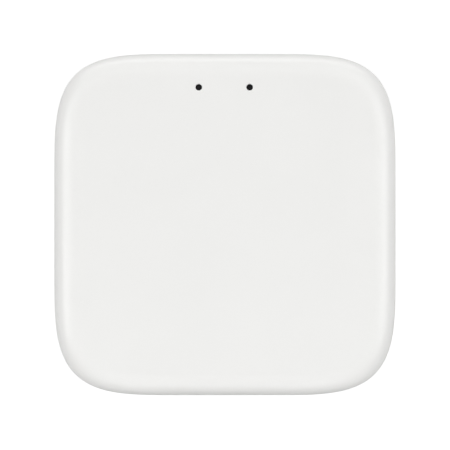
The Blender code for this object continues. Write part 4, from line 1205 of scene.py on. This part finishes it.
def make_solder():
    """Tinned pads that fill the gap under each soldered part."""
    shape = bmesh.new()
    top, rim = PART_Z - 0.02 * MM, 0.1 * MM
    ends = ("input_fuse", "surge_diode", "output_capacitor", "zigbee_capacitor", "wifi_capacitor")
    ends += ("led_resistor_left", "led_resistor_right", "status_led_left", "status_led_right")
    for node in ends:
        low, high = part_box(node)
        reach = min(1.0 * MM, (high.x - low.x) * 0.28)
        for x, outwards in ((low.x, -1), (high.x, 1)):
            x_ends = (x - outwards * reach, x + outwards * 0.25 * MM)
            add_pad(shape, x_ends, (low.y - rim, high.y + rim), top)
    for x, y, width, depth in (
        # under the regulator, the storage capacitor and the switch, in millimetres
        (-11.3, 17.05, 0.9, 1.2),
        (-9, 17.05, 0.9, 1.2),
        (-6.7, 17.05, 0.9, 1.2),
        (-9, 10.9, 3.4, 1.4),
        (-11, 21.0, 1.4, 2.2),
        (-11, 25.8, 1.4, 2.2),
        (12, 22.3, 4.6, 0.7),
    ):
        x_ends = ((x - width / 2) * MM, (x + width / 2) * MM)
        add_pad(shape, x_ends, ((y - depth / 2) * MM, (y + depth / 2) * MM), top)
    for number in range(1, CONTACT_COUNT + 1):
        low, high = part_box(f"usb_contact_{number}")
        side = 0.02 * MM
        y_ends = (low.y - 0.3 * MM, low.y + 0.7 * MM)
        add_pad(shape, (low.x - side, high.x + side), y_ends, low.z - 0.01 * MM, 0.01 * MM)
    for sx in (-1, 1):
        y_ends = (SOCKET_BACK_Y + 0.9 * MM, SOCKET_BACK_Y + 3.1 * MM)
        add_pad(shape, (sx * 3.6 * MM, sx * 5.0 * MM), y_ends, PART_Z)
    show("solder_pads", shape, "tinned_steel")


# ---- Table, lights and camera


def make_table():
    """A plain white table top, unseen from below, which looks shaded in the hub's footprint."""
    shape = bmesh.new()
    bmesh.ops.create_circle(shape, cap_ends=True, radius=TABLE_RADIUS, segments=96)
    table = linked("table_top", finished_mesh("table_top", shape))
    white = Finish("table_white", Specular_IOR_Level=0.0)
    white.shader.inputs["Base Color"].default_value = (*TABLE_COLOUR, 1)
    white.shader.inputs["Emission Color"].default_value = (1, 1, 1, 1)
    across = white.node("ShaderNodeSeparateXYZ", {"Vector": white.place}).outputs
    reach = []
    for axis in ("X", "Y"):
        share = white.math("ABSOLUTE", white.math("DIVIDE", across[axis], SHADE_REACH), 0.0)
        reach.append(white.math("POWER", share, SHADE_POWER))
    away = white.math("ADD", *reach)
    seen = white.node("ShaderNodeLightPath").outputs["Is Camera Ray"]
    open_glow = white.math("MULTIPLY", seen, TABLE_GLOW)
    glow = white.spread(away, SHADE_GLOW, open_glow, 0.8, 1.2)
    white.tree.links.new(glow, white.shader.inputs["Emission Strength"])
    below = white.node("ShaderNodeNewGeometry").outputs["Backfacing"]
    unseen = white.node("ShaderNodeBsdfTransparent").outputs["BSDF"]
    sides = {"Fac": below, 1: white.shader.outputs["BSDF"], 2: unseen}
    surface = white.node("ShaderNodeMixShader", sides).outputs["Shader"]
    white.tree.links.new(surface, white.tree.nodes["Material Output"].inputs["Surface"])
    table.data.materials.append(white.material)


def add_softbox(name, around, above, width, height, power):
    """A soft box that faces the hub; around is its direction from the right, above its height angle."""
    data = bpy.data.lights.new(name, "AREA")
    data.shape = "RECTANGLE"
    data.size, data.size_y = width, height
    data.energy = power
    made = linked(name, data)
    turn, rise = radians(around), radians(above)
    made.location = LIGHT_DISTANCE * Vector((cos(turn) * cos(rise), sin(turn) * cos(rise), sin(rise)))
    made.rotation_euler = (Vector((0, 0, TOP_Z)) - made.location).to_track_quat("-Z", "Y").to_euler()


def make_lights():
    for settings in LIGHTS:
        add_softbox(*settings)
    world = bpy.data.worlds.new("studio")
    world.use_nodes = True
    background = world.node_tree.nodes["Background"]
    background.inputs["Color"].default_value = (*WORLD_COLOUR, 1)
    background.inputs["Strength"].default_value = WORLD_STRENGTH
    bpy.context.scene.world = world


def make_camera():
    data = bpy.data.cameras.new("overhead")
    data.sensor_width = SENSOR
    data.lens = CAMERA_HEIGHT * SENSOR / VIEW_WIDTH
    camera = linked("overhead", data)
    camera.location = (*VIEW_CENTRE, WIDEST_Z + CAMERA_HEIGHT)
    data.clip_start, data.clip_end = 0.02, 10
    bpy.context.scene.camera = camera


make_top_shell()
make_bottom_shell()
make_label()
make_feet()
make_screws()
make_light_guide()
make_shroud()
make_lamps()
make_socket_shell()
make_socket_inside()
make_button()
make_switch()
make_board()
make_vias(make_tracks())
make_module("zigbee_module", 6)
make_module("wifi_module", 7)
make_regulator()
make_packages()
make_storage_capacitor()
make_two_ended("input_fuse", "green_laminate", 0.7)
make_two_ended("zigbee_capacitor", "tan_ceramic", 0.4)
make_two_ended("wifi_capacitor", "tan_ceramic", 0.4)
make_two_ended("led_resistor_left", "cream_plastic", 0.3, "black_epoxy")
make_two_ended("led_resistor_right", "cream_plastic", 0.3, "black_epoxy")
make_solder()
make_table()
make_lights()
make_camera()
bpy.context.scene.view_settings.view_transform = "Standard"
